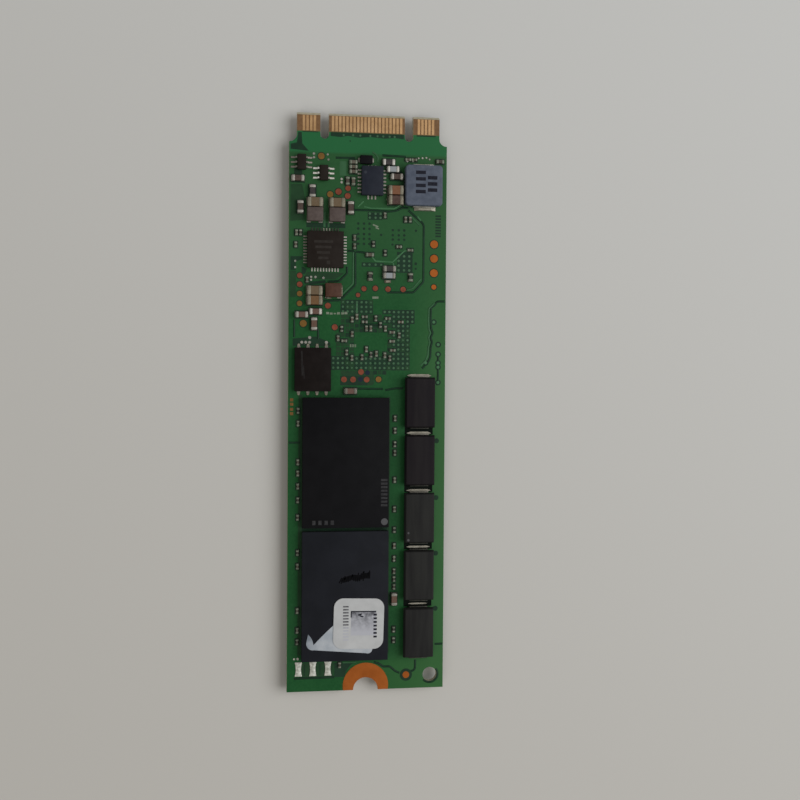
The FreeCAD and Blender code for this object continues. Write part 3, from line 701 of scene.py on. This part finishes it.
# Painted shade: a near-black plate in each gap between the capacitors.
gap_shade_areas = [rectangle(5.3, lower[1].y / MM, 9.3, upper[0].y / MM)
             for upper, lower in zip(capacitors, capacitors[1:])]
shaded_areas = (
    ((-10.8, 25.1), (-8.9, 25.3), (-8.75, 28.0), (-9.2, 30.2), (-10.8, 30.2)),
    rectangle(-10.8, 14.7, -10.0, 18.3),
    ((-8.9, 17.15), (-6.2, 17.2), (-4.6, 17.2), (-3.3, 18.1), (-8.5, 18.2)),
    ((0.0, 2.6), (0.7, 2.6), (1.0, 3.0), (0.9, 4.5), (-3.6, 4.5), (-3.6, 3.9), (0.0, 3.9)),
    rectangle(-9.3, -38.0, -4.5, -36.0),
    # Painted shadow: strips along the left and right edges of the flash packages.
    rectangle(-9.55, -34.9, -9.0, 1.3),
    rectangle(2.9, -34.9, 3.25, 1.0),
)
pale_areas = (rectangle(-4.05, 31.5, -3.1, 33.5), rectangle(-6.25, 24.4, -5.95, 26.4),
              rectangle(-5.65, 24.4, -5.4, 26.4))
for name, outlines, finish in (
        ("dark_lacquer_and_shade_areas", dark_and_shade_areas, dark_lacquer_and_shade), ("capacitor_gap_shade", gap_shade_areas, gap_shade_lacquer),
        ("shaded_lacquer_areas", shaded_areas, shaded_lacquer),
        ("pale_lacquer_areas", pale_areas, pale_lacquer)):
    hang(plates(outlines, HEIGHTS[name]), name, finish, "solder_mask")
    print(name, len(outlines), "plates")

# %% [markdown]
# Narrow gaps between two areas of copper look like dark lines; traces that stand out, and copper edges
# that catch the light, like pale ones. A dark arc of painted shade at the rim of the tooling hole is drawn
# with the gaps. All are strips along paths. The paths follow the photograph from corner to corner, and the
# tree rounds the corners.

# %% Gaps, traces and copper edges
# The arc round the tooling hole, on its lower and right-hand side only, is painted shade at the hole's rim.
HOLE_X, HOLE_Y, HOLE_SHADE_RING = 9.1, -38.1, 1.16
hole_shade_turns = [math.radians(turn) for turn in range(-140, 50, 20)]
gap_and_shade_lines = (
    ((-2.0, 26.85), (1.3, 26.85), (2.9, 26.75), (3.9, 26.9), (4.8, 27.35), (5.6, 27.3)),
    ((5.6, 27.0), (7.6, 25.3), (7.8, 24.9), (7.8, 17.1), (6.4, 15.6), (2.7, 15.55)),
    ((-2.9, 21.2), (-1.8, 21.15), (-1.75, 16.5), (-3.9, 14.35), (-6.2, 14.2)),
    ((-1.75, 21.1), (-0.5, 21.0)),
    ((-2.95, 19.0), (-2.92, 18.1), (-4.0, 17.0), (-5.6, 16.9)),
    ((10.85, 14.42), (9.75, 14.4), (9.4, 13.85), (8.9, 13.5), (8.87, 11.75), (8.95, 10.6), (9.2, 10.0),
     (8.88, 9.3), (9.1, 8.7), (8.9, 8.0), (8.87, 6.7), (8.6, 6.0), (7.7, 5.0)),
    ((9.97, 6.7), (9.97, 2.8)),
    ((1.17, -36.17), (1.8, -36.35), (2.5, -36.83), (3.4, -36.83), (4.17, -37.5), (4.8, -37.8)),
    ((7.03, -36.0), (7.0, -37.5), (6.4, -37.6)),
    ((9.8, -33.85), (10.9, -33.85)),
    ((-10.9, -5.35), (-9.3, -5.35)),
    ((1.9, 34.5), (5.2, 34.4)),
    ((-1.9, 34.0), (-4.6, 33.95)),
    ((2.5, 1.95), (4.0, 2.2), (5.0, 2.2)),
    ((-1.7, 2.15), (2.2, 2.1)),
    ((-10.0, -38.13), (-4.4, -38.1)),
    ((-6.9, 8.9), (-6.9, 10.4)),
    ((-10.2, 9.2), (-10.2, 11.6)),
    ((4.4, 32.4), (5.0, 31.6), (5.0, 28.4)),
    ((-1.1, 11.08), (1.5, 11.05)),
    ((0.4, 5.7), (1.4, 5.7)),
    [(HOLE_X + HOLE_SHADE_RING * math.cos(turn), HOLE_Y + HOLE_SHADE_RING * math.sin(turn)) for turn in hole_shade_turns],
)
trace_lines = (
    ((0.55, 20.4), (1.0, 19.85), (3.4, 19.75), (5.1, 21.4), (5.6, 21.4)),
    ((3.5, 19.6), (3.6, 18.9)),
    ((-1.5, 27.3), (-0.7, 28.1)),
    ((-0.6, 27.35), (0.4, 27.15), (3.6, 27.2), (4.5, 27.75)),
    ((-1.55, 13.95), (-1.55, 12.6)),
    ((6.9, 26.2), (7.4, 25.6)),
)
edge_lines = (
    ((7.45, 17.5), (6.3, 16.15), (5.5, 15.95)),
    ((-2.1, 21.0), (-2.1, 16.7), (-4.05, 14.75)),
    ((9.4, 14.15), (8.6, 13.4), (8.57, 11.8), (8.62, 10.5), (8.85, 10.0), (8.55, 9.3), (8.78, 8.7),
     (8.58, 8.0), (8.5, 6.9), (8.2, 6.1), (7.5, 5.4)),
    ((0.5, 34.9), (1.0, 34.6), (1.3, 34.1), (1.2, 33.6)),
    ((-3.2, -36.08), (-1.35, -36.08)),
    ((5.9, 26.25), (7.2, 24.95)),
)
for name, lines, finish, width, corner in (
        ("copper_gaps_and_hole_shade", gap_and_shade_lines, dark_lacquer_and_shade, 0.3, 0.5),
        ("copper_traces", trace_lines, trace_lacquer, 0.24, 0.3),
        ("copper_edges", edge_lines, pale_lacquer, 0.26, 0.5)):
    grow(flat_strips, paths(lines), name, finish, Width=width, Thickness=HEIGHTS[name], Corner=corner)

# %% [markdown]
# Vias are plated holes that lead to the packages on the other side. They stand in grids opposite those
# packages, so loops lay them out, leaving out the bare middle and the places of parts.

# %% Via fields
VIA_PITCH = 0.65
FIELD_LEFT, FIELD_LOW = -5.1, 2.1
NEAR_CARD = 0.2
tall_endings = ("_case", "_cases", "_bodies", "_ends", "_core", "_cores")
tall_boxes = [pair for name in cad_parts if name.endswith(tall_endings) for pair in block_boxes(name)]
front_parts = [(*low.xy, *high.xy) for low, high in tall_boxes if low.z > TOP - NEAR_CARD]
back_parts = [(*low.xy, *high.xy) for low, high in tall_boxes if high.z < BOTTOM + NEAR_CARD]


def inside(boxes, x, y, room=0.0):
    """Whether a place is in one of the boxes, or nearer to it than some room."""
    return any(left - room < x < right + room and low - room < y < high + room
               for left, low, right, high in boxes)


def lay(tree, places, name, finish, slot="solder_mask", under=False, step=0.0):
    """Lay flat marks on the card, or under it, at the height of their kind."""
    high = HEIGHTS[name]
    grow(tree, flat(places, high, BOTTOM - high if under else TOP, step), name, finish, slot)


dense_field = ((-3.9, 12.7, 0.6, 14.2), (2.2, 11.0, 6.4, 13.4), (3.6, 4.8, 6.1, 11.0), (-5.1, 4.8, 6.1, 6.9))
thin_field = ((-3.9, 10.2, 3.0, 12.7), (-4.2, 6.9, -1.7, 10.2), (2.9, 6.9, 3.6, 11.0), (-3.6, 4.2, 2.8, 4.8))
pale_vias, dark_vias, dark_cells, grey_cells = [], [], [], []
chance = random.Random(3)
for column in range(18):
    for row in range(19):
        x = FIELD_LEFT + VIA_PITCH * (column + 0.5)
        y = FIELD_LOW + VIA_PITCH * (row + 0.5)
        draw = chance.random()
        if inside(front_parts, x, y, 0.12):
            continue
        if inside(dense_field, x, y):
            (dark_cells if draw < 0.8 else grey_cells).append((x, y, 0.64))
            pale_vias.append((x, y, 0.34 if draw < 0.8 else 0.26))
        elif inside(thin_field, x, y):
            (dark_cells if draw < 0.25 else grey_cells).append((x, y, 0.54))
pale_vias += [(x, y, 0.36) for x in (4.28, 5.05, 5.78) for y in (18.65, 19.3, 19.95, 20.6)]
pale_vias += [(x, 19.35, 0.34) for x in (-0.55, 0.2, 1.05, 1.83)]
pale_vias += [(x, y, 0.34) for x in (0.2, 1.0, 1.7) for y in (25.85, 26.4)]
pale_vias += [(x, 37.1, 0.3) for x in (-3.5, -2.2, -1.2, 0.2, 1.2, 2.0, 2.9, 3.6)]
dark_vias += [(x, y, 0.36) for x in (-1.4, -0.6, 0.17) for y in (25.0, 24.3, 23.55, 22.9, 22.2)]
dark_vias += [(x, y, 0.36) for x in (3.44, 4.28, 5.05) for y in (24.2, 23.5, 22.9)]
dark_vias += [(1.8, 23.5, 0.34), (6.7, 24.2, 0.34), (6.7, 19.6, 0.4), (6.7, 18.9, 0.3), (-2.6, 36.3, 0.2),
              (3.4, 22.2, 0.3)]
pale_vias, dark_vias = [[via for via in vias if not inside(front_parts, *via[:2], 0.1)]
                        for vias in (pale_vias, dark_vias)]
lay(bars, dark_cells, "dark_via_cells", dark_lacquer_and_shade)
lay(bars, grey_cells, "grey_via_cells", shaded_lacquer)
lay(dots, pale_vias, "pale_vias", via_lacquer)
lay(dots, dark_vias, "dark_vias", dark_lacquer_and_shade)

# %% [markdown]
# Ringed vias, a column of short ticks, a few legend marks and dots of solder or dark blue are left.

# %% Rings, ticks and legend marks
ring_places = ((9.98, 8.36), (9.98, 7.0), (9.98, 5.8), (9.98, 5.2), (9.98, 3.05), (9.33, 11.5), (8.2, 5.8))
ring_centres = [(x, y, 0.42) for x, y in ring_places]
ring_gaps = [(x, y, 0.82) for x, y in ring_places] + [(9.85, y, 0.7) for y in (-5.15, -13.15, -21.0, -28.8)]
ring_gaps.append((5.72, -38.08, 1.75))
ticks = [(9.85, 23.5 + 0.4 * step, 0.78, 0.24) for step in range(8)]
ticks += [(x, -37.0, 0.14, 1.5) for x in (-8.55, -6.4)]
legend = [(1.0, 24.75, 0.8, 0.2, -20), (1.25, 24.4, 0.5, 0.18, -20), (1.05, 14.8, 0.85, 0.3)]
legend += [(-2.4 + 0.24 * step, 8.08, 0.13, 0.4) for step in range(4)]
legend += [(-5.6, 12.55, 0.4, 0.32), (-5.1, 12.5, 0.4, 0.28), (-4.6, 12.5, 0.3, 0.2),
           (-4.1, 12.55, 0.4, 0.32), (-3.5, 12.55, 0.4, 0.3, 5), (-3.05, 12.6, 0.4, 0.34)]
solder_dots = (
    (-9.15, 8.5, 0.4), (-8.6, 8.5, 0.4), (-8.06, 8.5, 0.4), (-5.74, 8.5, 0.44), (-8.06, 9.15, 0.44),
    (-7.9, 17.5, 0.3), (-7.9, 17.1, 0.3), (-7.3, 17.5, 0.34), (-6.2, 17.4, 0.34), (-9.5, -35.4, 0.34),
    (-10.0, -35.4, 0.3), (-7.6, 34.4, 0.34), (-7.6, 33.9, 0.34), (-5.7, 34.35, 0.3), (-5.6, 33.65, 0.3),
    (-3.75, 31.05, 0.34), (-3.75, 30.6, 0.34), (7.0, 34.25, 0.26), (7.55, 34.3, 0.26), (8.1, 34.35, 0.26),
    (8.55, 34.15, 0.26), (2.65, 29.7, 0.3), (2.65, 28.4, 0.34), (-10.1, 19.65, 0.3), (-10.1, 18.8, 0.3),
    (5.4, 33.85, 0.36), (6.2, 33.9, 0.36))
lay(discs, ring_gaps, "ring_gaps", dark_lacquer_and_shade, step=0.0002)
lay(discs, ring_centres, "ring_centres", trace_lacquer)
lay(discs, ((0.0, 4.35, 0.7), (-0.97, 3.44, 0.7)), "blue_dots", blue_lacquer)
lay(bars, ticks, "edge_ticks", dark_lacquer_and_shade)
lay(bars, legend, "legend_marks", silk_ink)
lay(dots, solder_dots, "solder_dots", solder, "solder")

# %% [markdown]
# A via goes right through, so those that no package covers show on the hidden side as well: the ringed
# ones with their gaps, and the row short of the contacts.

# %% Vias on the hidden side
ringed = [ring for ring in ring_centres if not inside(back_parts, *ring[:2], 0.5)]
through = [via for via in pale_vias + dark_vias if not inside(back_parts, *via[:2], 0.3)] + ringed
print("vias that show on the hidden side:", len(through), "of them ringed:", len(ringed))
lay(discs, [(x, y, 0.58) for x, y, wide in ringed], "hidden_ring_gaps", dark_lacquer_and_shade, under=True)
lay(dots, through, "through_vias", via_lacquer, under=True)

# %% [markdown]
# Test pads are round in life, but the construction model gives them few sides. Each is replaced where it
# stands by a rounder disc with a dark gap round it, which is the opening in the lacquer.

# %% Test pads and lands
pad_boxes = block_boxes("test_pads")
round_pads, lands = [], []
for low, high in pad_boxes:
    middle, span = (low + high) / 2, high - low
    if abs(span.x - span.y) < 0.02:
        round_pads.append((round(middle.x, 2), round(middle.y, 2), span.x))
    else:
        lands.append((*middle.xy, *span.xy))
pad_height = pad_boxes[0][1].z - TOP
golden = ((-5.33, 28.9), (-9.48, 15.17), (-9.48, 13.83), (-6.58, 34.1), (1.56, 3.44))
gilt_pads = [pad for pad in round_pads if pad[:2] in golden or pad[0] < -8 and pad[1] < 12]
bright_pads = [pad for pad in round_pads if pad[0] > 5 and pad not in gilt_pads]
warm_pads = [pad for pad in round_pads if pad not in bright_pads + gilt_pads]
print("pads: bright", len(bright_pads), "gilt", len(gilt_pads), "warm", len(warm_pads))
lay(discs, [(x, y, wide + 0.24) for x, y, wide in round_pads], "pad_openings", dark_lacquer_and_shade)
grow(discs, flat(bright_pads, pad_height), "bright_test_pads", copper, "copper", ("test_pads",))
grow(discs, flat(warm_pads, pad_height), "warm_test_pads", dull_copper, "copper")
grow(discs, flat(gilt_pads, pad_height), "gilt_test_pads", pad_gold, "copper")
grow(bars, flat(lands, pad_height), "edge_lands", golden_copper, "copper")

# %% [markdown]
# Moulded cases have slightly rounded edges that catch the light. A bevel on a merged copy gives them.
# The lower ends of the capacitors' leads lie in shade, so they are toned darker.

# %% Cases and cores
cases = {"flash_1": compound, "flash_2": grey_compound, "flash_3": compound, "flash_4": grey_compound,
         "controller": grey_compound, "buffer_memory": compound, "converter_chip": chip_compound,
         "power_manager": brown_compound, "firmware_chip": dark_compound}
for name, finish in cases.items():
    softened(name + "_case", 0.05, finish, "mould_black")
softened("diode_case", 0.06, compound, "mould_black")
softened("switch_transistor_cases", 0.05, brown_compound, "mould_black")
for number, (low, high) in enumerate(capacitors, 1):
    resin = dark_resin if number < 3 else capacitor_resin
    softened("hold_up_capacitor_%d_case" % number, 0.1, resin, "capacitor_black", steps=3)
    # Painted shade: the lower lead ends are toned dark, and the upper ones of the last two capacitors too.
    ends = ((7.3, low.y / MM, 2.5, 0.1), (7.3, high.y / MM, 2.5, 0.3 if number < 4 else 0.1))
    softened("hold_up_capacitor_%d_leads" % number, 0.03, tin_lit_and_shaded, "tin", tones=ends)
softened("power_inductor_core", 0.18, iron, "inductor_grey", steps=3)
softened("power_inductor_leads", 0.05, solder, "tin")
softened("filter_inductor_cores", 0.1, grey_ferrite, "ferrite_grey")
softened("choke_core", 0.1, brown_ferrite, "ferrite_brown")

# %% [markdown]
# Leads and chips get a finer bevel of the same kind. Which row of leads is bright is painted light: shaded
# rows are toned dark and lit ones bright. Which chip is tan or brown follows the photograph. Each tone is a
# place, how far it reaches, and a number for the finish; on the solder ends of the middle-sized chips these
# numbers are painted glints and shade.

# %% Leads and chips
CHIP_REACH = 0.5
for node in ("converter_chip_leads", "diode_leads", "filter_terminals"):
    softened(node, 0.02, tin, "tin", steps=1)
# Painted light: rows and legs in shade are toned dark, lit ones bright.
lead_light_tones = {
    "firmware_chip_leads": ((-7.3, 7.6, 3.0, 0.4), (-7.3, 1.8, 3.0, 0.4)),
    "switch_transistor_legs": ((-8.0, 33.0, 9.0, 0.4), (-7.4, 32.0, 0.7, 0.9), (-7.4, 31.3, 0.7, 0.9),
                               (-7.4, 32.7, 0.7, 0.9), (-4.75, 32.0, 1.1, 0.6)),
    "power_manager_leads": ((-6.0, 21.2, 9.0, 0.6), (-6.0, 24.2, 1.9, 0.1), (-5.75, 24.3, 0.55, 0.4),
                            (-8.9, 21.2, 1.9, 0.4), (-3.1, 21.2, 1.9, 0.6), (-6.0, 18.3, 1.9, 0.7))}
for node, tones in lead_light_tones.items():
    softened(node, 0.02, tin_lit_and_shaded, "tin", 1, tones)
softened("solder_links", 0.05, bright_solder, "solder")
large_tones = ((-7.45, 27.73, 0.1), (-4.4, 27.73, 0.1), (3.75, 29.65, 0.6), (3.75, 28.3, 0.9),
               (-7.45, 15.62, 0.1), (-7.45, 14.27, 0.4))
medium_tones = ((-9.8, 30.95, 0.5), (2.75, 33.5, 0.1), (3.35, 32.55, 0.9), (3.9, 31.55, 0.5),
                (-7.3, 12.75, 0.7), (-9.2, 12.3, 0.7), (2.95, 18.8, 0.1), (2.9, 17.85, 0.9), (-2.4, 1.8, 0.7),
                (-7.8, 29.25, 0.1), (-9.45, 27.05, 0.5), (-2.5, 27.1, 0.5), (-7.5, 11.05, 0.3),
                (3.9, -27.3, 0.3))
small_tones = ((0.3, 17.7, 0.9), (5.95, 17.7, 0.9))
# Painted glints and shade on the solder ends of the middle-sized chips.
end_glint_tones = ((-6.0, 29.0, 4.6, 0.6), (3.0, 33.0, 1.2, 0.9), (-2.4, 1.8, 1.0, 0.1), (2.9, 18.3, 1.2, 0.4),
             (-8.4, 12.0, 1.8, 0.6), (-7.3, 12.75, 0.8, 0.9), (3.9, -27.3, 0.8, 0.3))
for size, ceramic, tones in (("large", tan_ceramic, large_tones), ("medium", brown_ceramic, medium_tones),
                             ("small", fine_ceramic, small_tones), ("tiny", fine_ceramic, ())):
    reach = 0.6 if size == "small" else CHIP_REACH
    near = [(x, y, reach, tone) for x, y, tone in tones]
    softened(size + "_chip_bodies", 0.02, ceramic, "chip_ceramic", 1, near)
softened("large_chip_ends", 0.04, cream_solder, "solder")
softened("medium_chip_ends", 0.04, solder_with_glints, "solder", tones=end_glint_tones)
softened("small_chip_ends", 0.04, pale_solder, "solder")
softened("tiny_chip_ends", 0.04, pale_solder, "solder")

# %% [markdown]
# Round the lands of each chip the lacquer is left open, and the bare laminate there looks dark. One flat
# bar under each chip shows it, and its wide margin is also painted shade round the chip. Where two bars
# overlap, the later one is a hair higher.

# %% Openings and painted shade round the chips
# The margin holds both the opening in the lacquer and painted shade round the chip.
OPENING_AND_SHADE_MARGIN, OPENING_STEP = 0.36, 0.0003


def opening_and_shade_places():
    laid, places = [], []
    for size in ("large", "medium", "small", "tiny"):
        ends = block_boxes(size + "_chip_ends")
        for low, high in block_boxes(size + "_chip_bodies"):
            middle = (low + high) / 2
            ends.sort(key=lambda pair: ((pair[0] + pair[1]) / 2 - middle).length)
            corners = [low, high, *ends[0], *ends[1]]
            left, right = min(corner.x for corner in corners), max(corner.x for corner in corners)
            near, far = min(corner.y for corner in corners), max(corner.y for corner in corners)
            front, x, y = middle.z > TOP, (left + right) / 2, (near + far) / 2
            wide, long = right - left + OPENING_AND_SHADE_MARGIN, far - near + OPENING_AND_SHADE_MARGIN
            level = sum(other[0] == front and abs(other[1] - x) < (other[3] + wide) / 2
                        and abs(other[2] - y) < (other[4] + long) / 2 for other in laid)
            laid.append((front, x, y, wide, long))
            thick = HEIGHTS["chip_openings_and_shade"] + OPENING_STEP * level
            z = TOP + thick / 2 if front else BOTTOM - thick / 2
            places.append(((x, y, z), (wide, long, thick), 0))
    return places


grow(bars, spots(opening_and_shade_places()), "chip_openings_and_shade", dark_lacquer_and_shade)

# %% [markdown]
# Every chip end sits in a small mound of solder that climbs it. The mounds are instances again: one for
# each end, pushed outwards from the chip's own middle, which is the middle of the nearest body.

# %% Solder mounds
MOUND_RISE, MOUND_MARGIN = 0.6, 0.06


def mound_places(size, reach):
    bodies = [(low + high) / 2 for low, high in block_boxes(size + "_chip_bodies")]
    places = []
    for low, high in block_boxes(size + "_chip_ends"):
        middle, span = (low + high) / 2, high - low
        body = min(bodies, key=lambda point: (point - middle).length)
        away = (middle - body).normalized()
        tall = span.z * MOUND_RISE
        front = middle.z > TOP
        z = TOP + tall / 2 if front else BOTTOM - tall / 2
        wide = span.x + MOUND_MARGIN + abs(away.x) * reach
        long = span.y + MOUND_MARGIN + abs(away.y) * reach
        centre = (middle.x + away.x * reach / 2, middle.y + away.y * reach / 2, z)
        places.append((centre, (wide, long, tall if front else -tall), 0))
    return places


for size, reach, finish in (("large", 0.16, cream_solder), ("medium", 0.12, solder),
                            ("small", 0.08, pale_solder), ("tiny", 0.06, pale_solder)):
    grow(mounds, spots(mound_places(size, reach)), size + "_chip_solder", finish, "solder")

# %% [markdown]
# Solder balls are seen only in the slit under a package, but they should still be round there.

# %% Solder balls
for side in ("front", "back"):
    node = side + "_solder_balls"
    ball_places = [((low + high) / 2, high - low, 0) for low, high in block_boxes(node)]
    grow(balls, spots(ball_places), "round_%s_balls" % side, solder, "solder", (node,))

# %% [markdown]
# Above each capacitor's upper lead the solder shows as a bright strip with tapered ends. Beside the
# inductor, the choke and two small chips it stands in wider mounds, and at the firmware chip in dots.

# %% Solder at the capacitors and the inductor
STRIP_HEIGHT, STRIP_TAPER, LEAD_DOT = 0.16, 0.5, 0.08
strip_sizes = ((1.75, 0.2, 0.1), (1.75, 0.2, 0.1), (1.75, 0.16, 0.12), (1.7, 0.13, 0.24), (1.4, 0.1, 0.28))
strips = []
for number, (half, thin, up) in enumerate(strip_sizes, 1):
    low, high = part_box("hold_up_capacitor_%d_leads" % number)
    x, y = (low.x + high.x) / 2 / MM, high.y / MM + up
    inner = half - STRIP_TAPER
    strips.append(((x - half, y), (x - inner, y - thin), (x + inner, y - thin), (x + half, y),
                   (x + inner, y + thin), (x - inner, y + thin)))
hang(plates(strips, STRIP_HEIGHT), "capacitor_solder", strip_solder, "solder")
terminal_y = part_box("power_inductor_leads")[0].y / MM - 0.1
beside_choke = ((-3.66, 15.65, 0.26, 1.5), (-5.5, 14.62, 0.8, 0.2), (2.75, 17.05, 0.9, 0.45))
wide_mounds = [(x, y, 0.75, 0.34) for x in (0.3, 5.95) for y in (18.1, 17.25)] + [(7.9, terminal_y, 3.0, 0.6)]
firmware_y = sum(corner.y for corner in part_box("firmware_chip_case")) / 2 / MM
lead_dots = []
for low, high in block_boxes("firmware_chip_leads"):
    outer = high.y + LEAD_DOT if low.y > firmware_y else low.y - LEAD_DOT
    lead_dots.append(((low.x + high.x) / 2, outer, 0.36))
grow(mounds, flat(beside_choke, 0.2), "terminal_solder", cream_solder, "solder")
grow(dots, flat(lead_dots, 0.09), "lead_solder", cream_solder, "solder")
grow(mounds, flat(wide_mounds, 0.22), "wide_solder", strip_solder, "solder")

# %% [markdown]
# Print on the parts is left generic: bars and blocks where the real one carries marks. A mark is sunk
# into its face a little, so that only a hair of it stands out.

# %% Print and marks
def face_of(node):
    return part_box(node)[1].z / MM


def stamp(tree, places, node, name, finish, slot="mould_black", thickness=0.004, sunk=0.002):
    """Print marks on the upper face of a node."""
    grow(tree, flat(places, thickness, face_of(node) - sunk), name, finish, slot)


core_bars = [(7.1, y, 1.4, 0.48) for y in (32.1, 31.2, 30.3, 29.45)]
core_bars += [(8.75, y, 1.35, 0.5) for y in (31.4, 30.55, 29.7)]
flash_marks = [(2.3, -10.5 - 0.5 * step, 0.9, 0.3) for step in range(8)]
flash_marks += [(-7.45 + 0.85 * step, -16.35, 0.45, 0.6) for step in range(4)]
stamp(bars, core_bars, "power_inductor_core", "inductor_bars", black_ink, "inductor_grey")
stamp(bars, flash_marks, "flash_1_case", "flash_etching", etched)
stamp(discs, ((2.36, -16.3, 0.95),), "flash_1_case", "flash_pin_dot", pin_dot)

# %% [markdown]
# The smear of black marker on the second flash package is wear, and stays. It is one dark patch cut to
# outline, with short strokes across it that lean and differ in length, as from a pen moved to and fro.

# %% Marker smear
STROKES = 17
flash_face = face_of("flash_1_case")
smear = ((-3.75, -24.5), (-3.7, -24.1), (-2.64, -23.75), (-1.93, -23.6), (-1.08, -23.68), (-0.37, -23.4),
         (0.45, -23.3), (0.4, -24.2), (-0.23, -24.15), (-0.8, -24.3), (-1.37, -24.45), (-2.22, -24.33),
         (-2.64, -24.55), (-3.35, -24.7))
hang(plates((smear,), 0.004, flash_face - 0.001), "marker_smear", marker, "mould_black")
chance = random.Random(5)
strokes = []
for step in range(STROKES):
    share = step / (STROKES - 1)
    left, middle = -3.9 + 4.1 * share, -24.4 + 0.75 * share
    low_half = (0.2 + 0.4 * chance.random()) * (0.8 + 0.45 * share)
    high_half = (0.2 + 0.4 * chance.random()) * (0.8 + 0.45 * share)
    lean = 0.45 * chance.random()
    strokes.append(((left, middle - low_half), (left + lean, middle + high_half)))
grow(flat_strips, paths(strokes, flash_face), "marker_strokes", marker, "mould_black",
     Width=0.17, Thickness=0.009, Corner=0.0)

# %% [markdown]
# The label has a column of short bars that fades, a field of faded print under a dark line, and a column
# of dark dashes. The other chips have only faint marks.

# %% Label and chip marks
dashes = [(1.13, -29.2 - 0.51 * step, 0.48, 0.27) for step in range(7)]
dashes += [(-0.5, -28.72, 3.55, 0.16, -1), (-2.22, -29.1, 0.16, 0.8, -1), (-1.0, -29.15, 0.5, 0.25, 20),
           (-0.75, -29.4, 0.5, 0.2, -15)]
column = [(-2.97, -28.0 - 0.42 * step, 0.78, 0.2) for step in range(7)]
fields = [(-0.5, -30.4, 3.5, 3.3, -1)] + [(-2.97, -30.94 - 0.42 * step, 0.78, 0.2) for step in range(5)]
faint = [(-6.3, 22.3 - 0.75 * step, 2.6 - 0.4 * step, 0.34) for step in range(4)] + [(-5.6, 19.45, 0.5)]
streak = ((-9.15, 5.6, 0.22, 3.4, 2), (-8.9, 4.4, 0.14, 1.8, 4))
specks = ((5.7, -17.9, 0.3), (5.7, -18.9, 0.34))
stamp(bars, dashes, "code_label", "label_dashes", black_ink, "label_white", 0.005)
stamp(bars, column, "code_label", "label_column", grey_print, "label_white")
stamp(bars, fields, "code_label", "label_fields", grey_ink, "label_white")
stamp(bars, faint, "power_manager_case", "manager_marks", faint_mark, thickness=0.003)
stamp(discs, ((-0.55, 31.95, 0.42),), "converter_chip_case", "converter_dot", blue_scuff, thickness=0.003)
stamp(bars, streak, "firmware_chip_case", "firmware_scuff", scuffed, thickness=0.003)
stamp(dots, specks, "hold_up_capacitor_3_case", "capacitor_specks", pin_dot, "capacitor_black", sunk=0.003)

# %% Compare sizes
boxes = {"cad": [list(corner) for corner in cad_box], "visual": [list(corner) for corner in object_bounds()]}
for name, pair in boxes.items():
    print(name, [[round(number / MM, 3) for number in corner] for corner in pair])
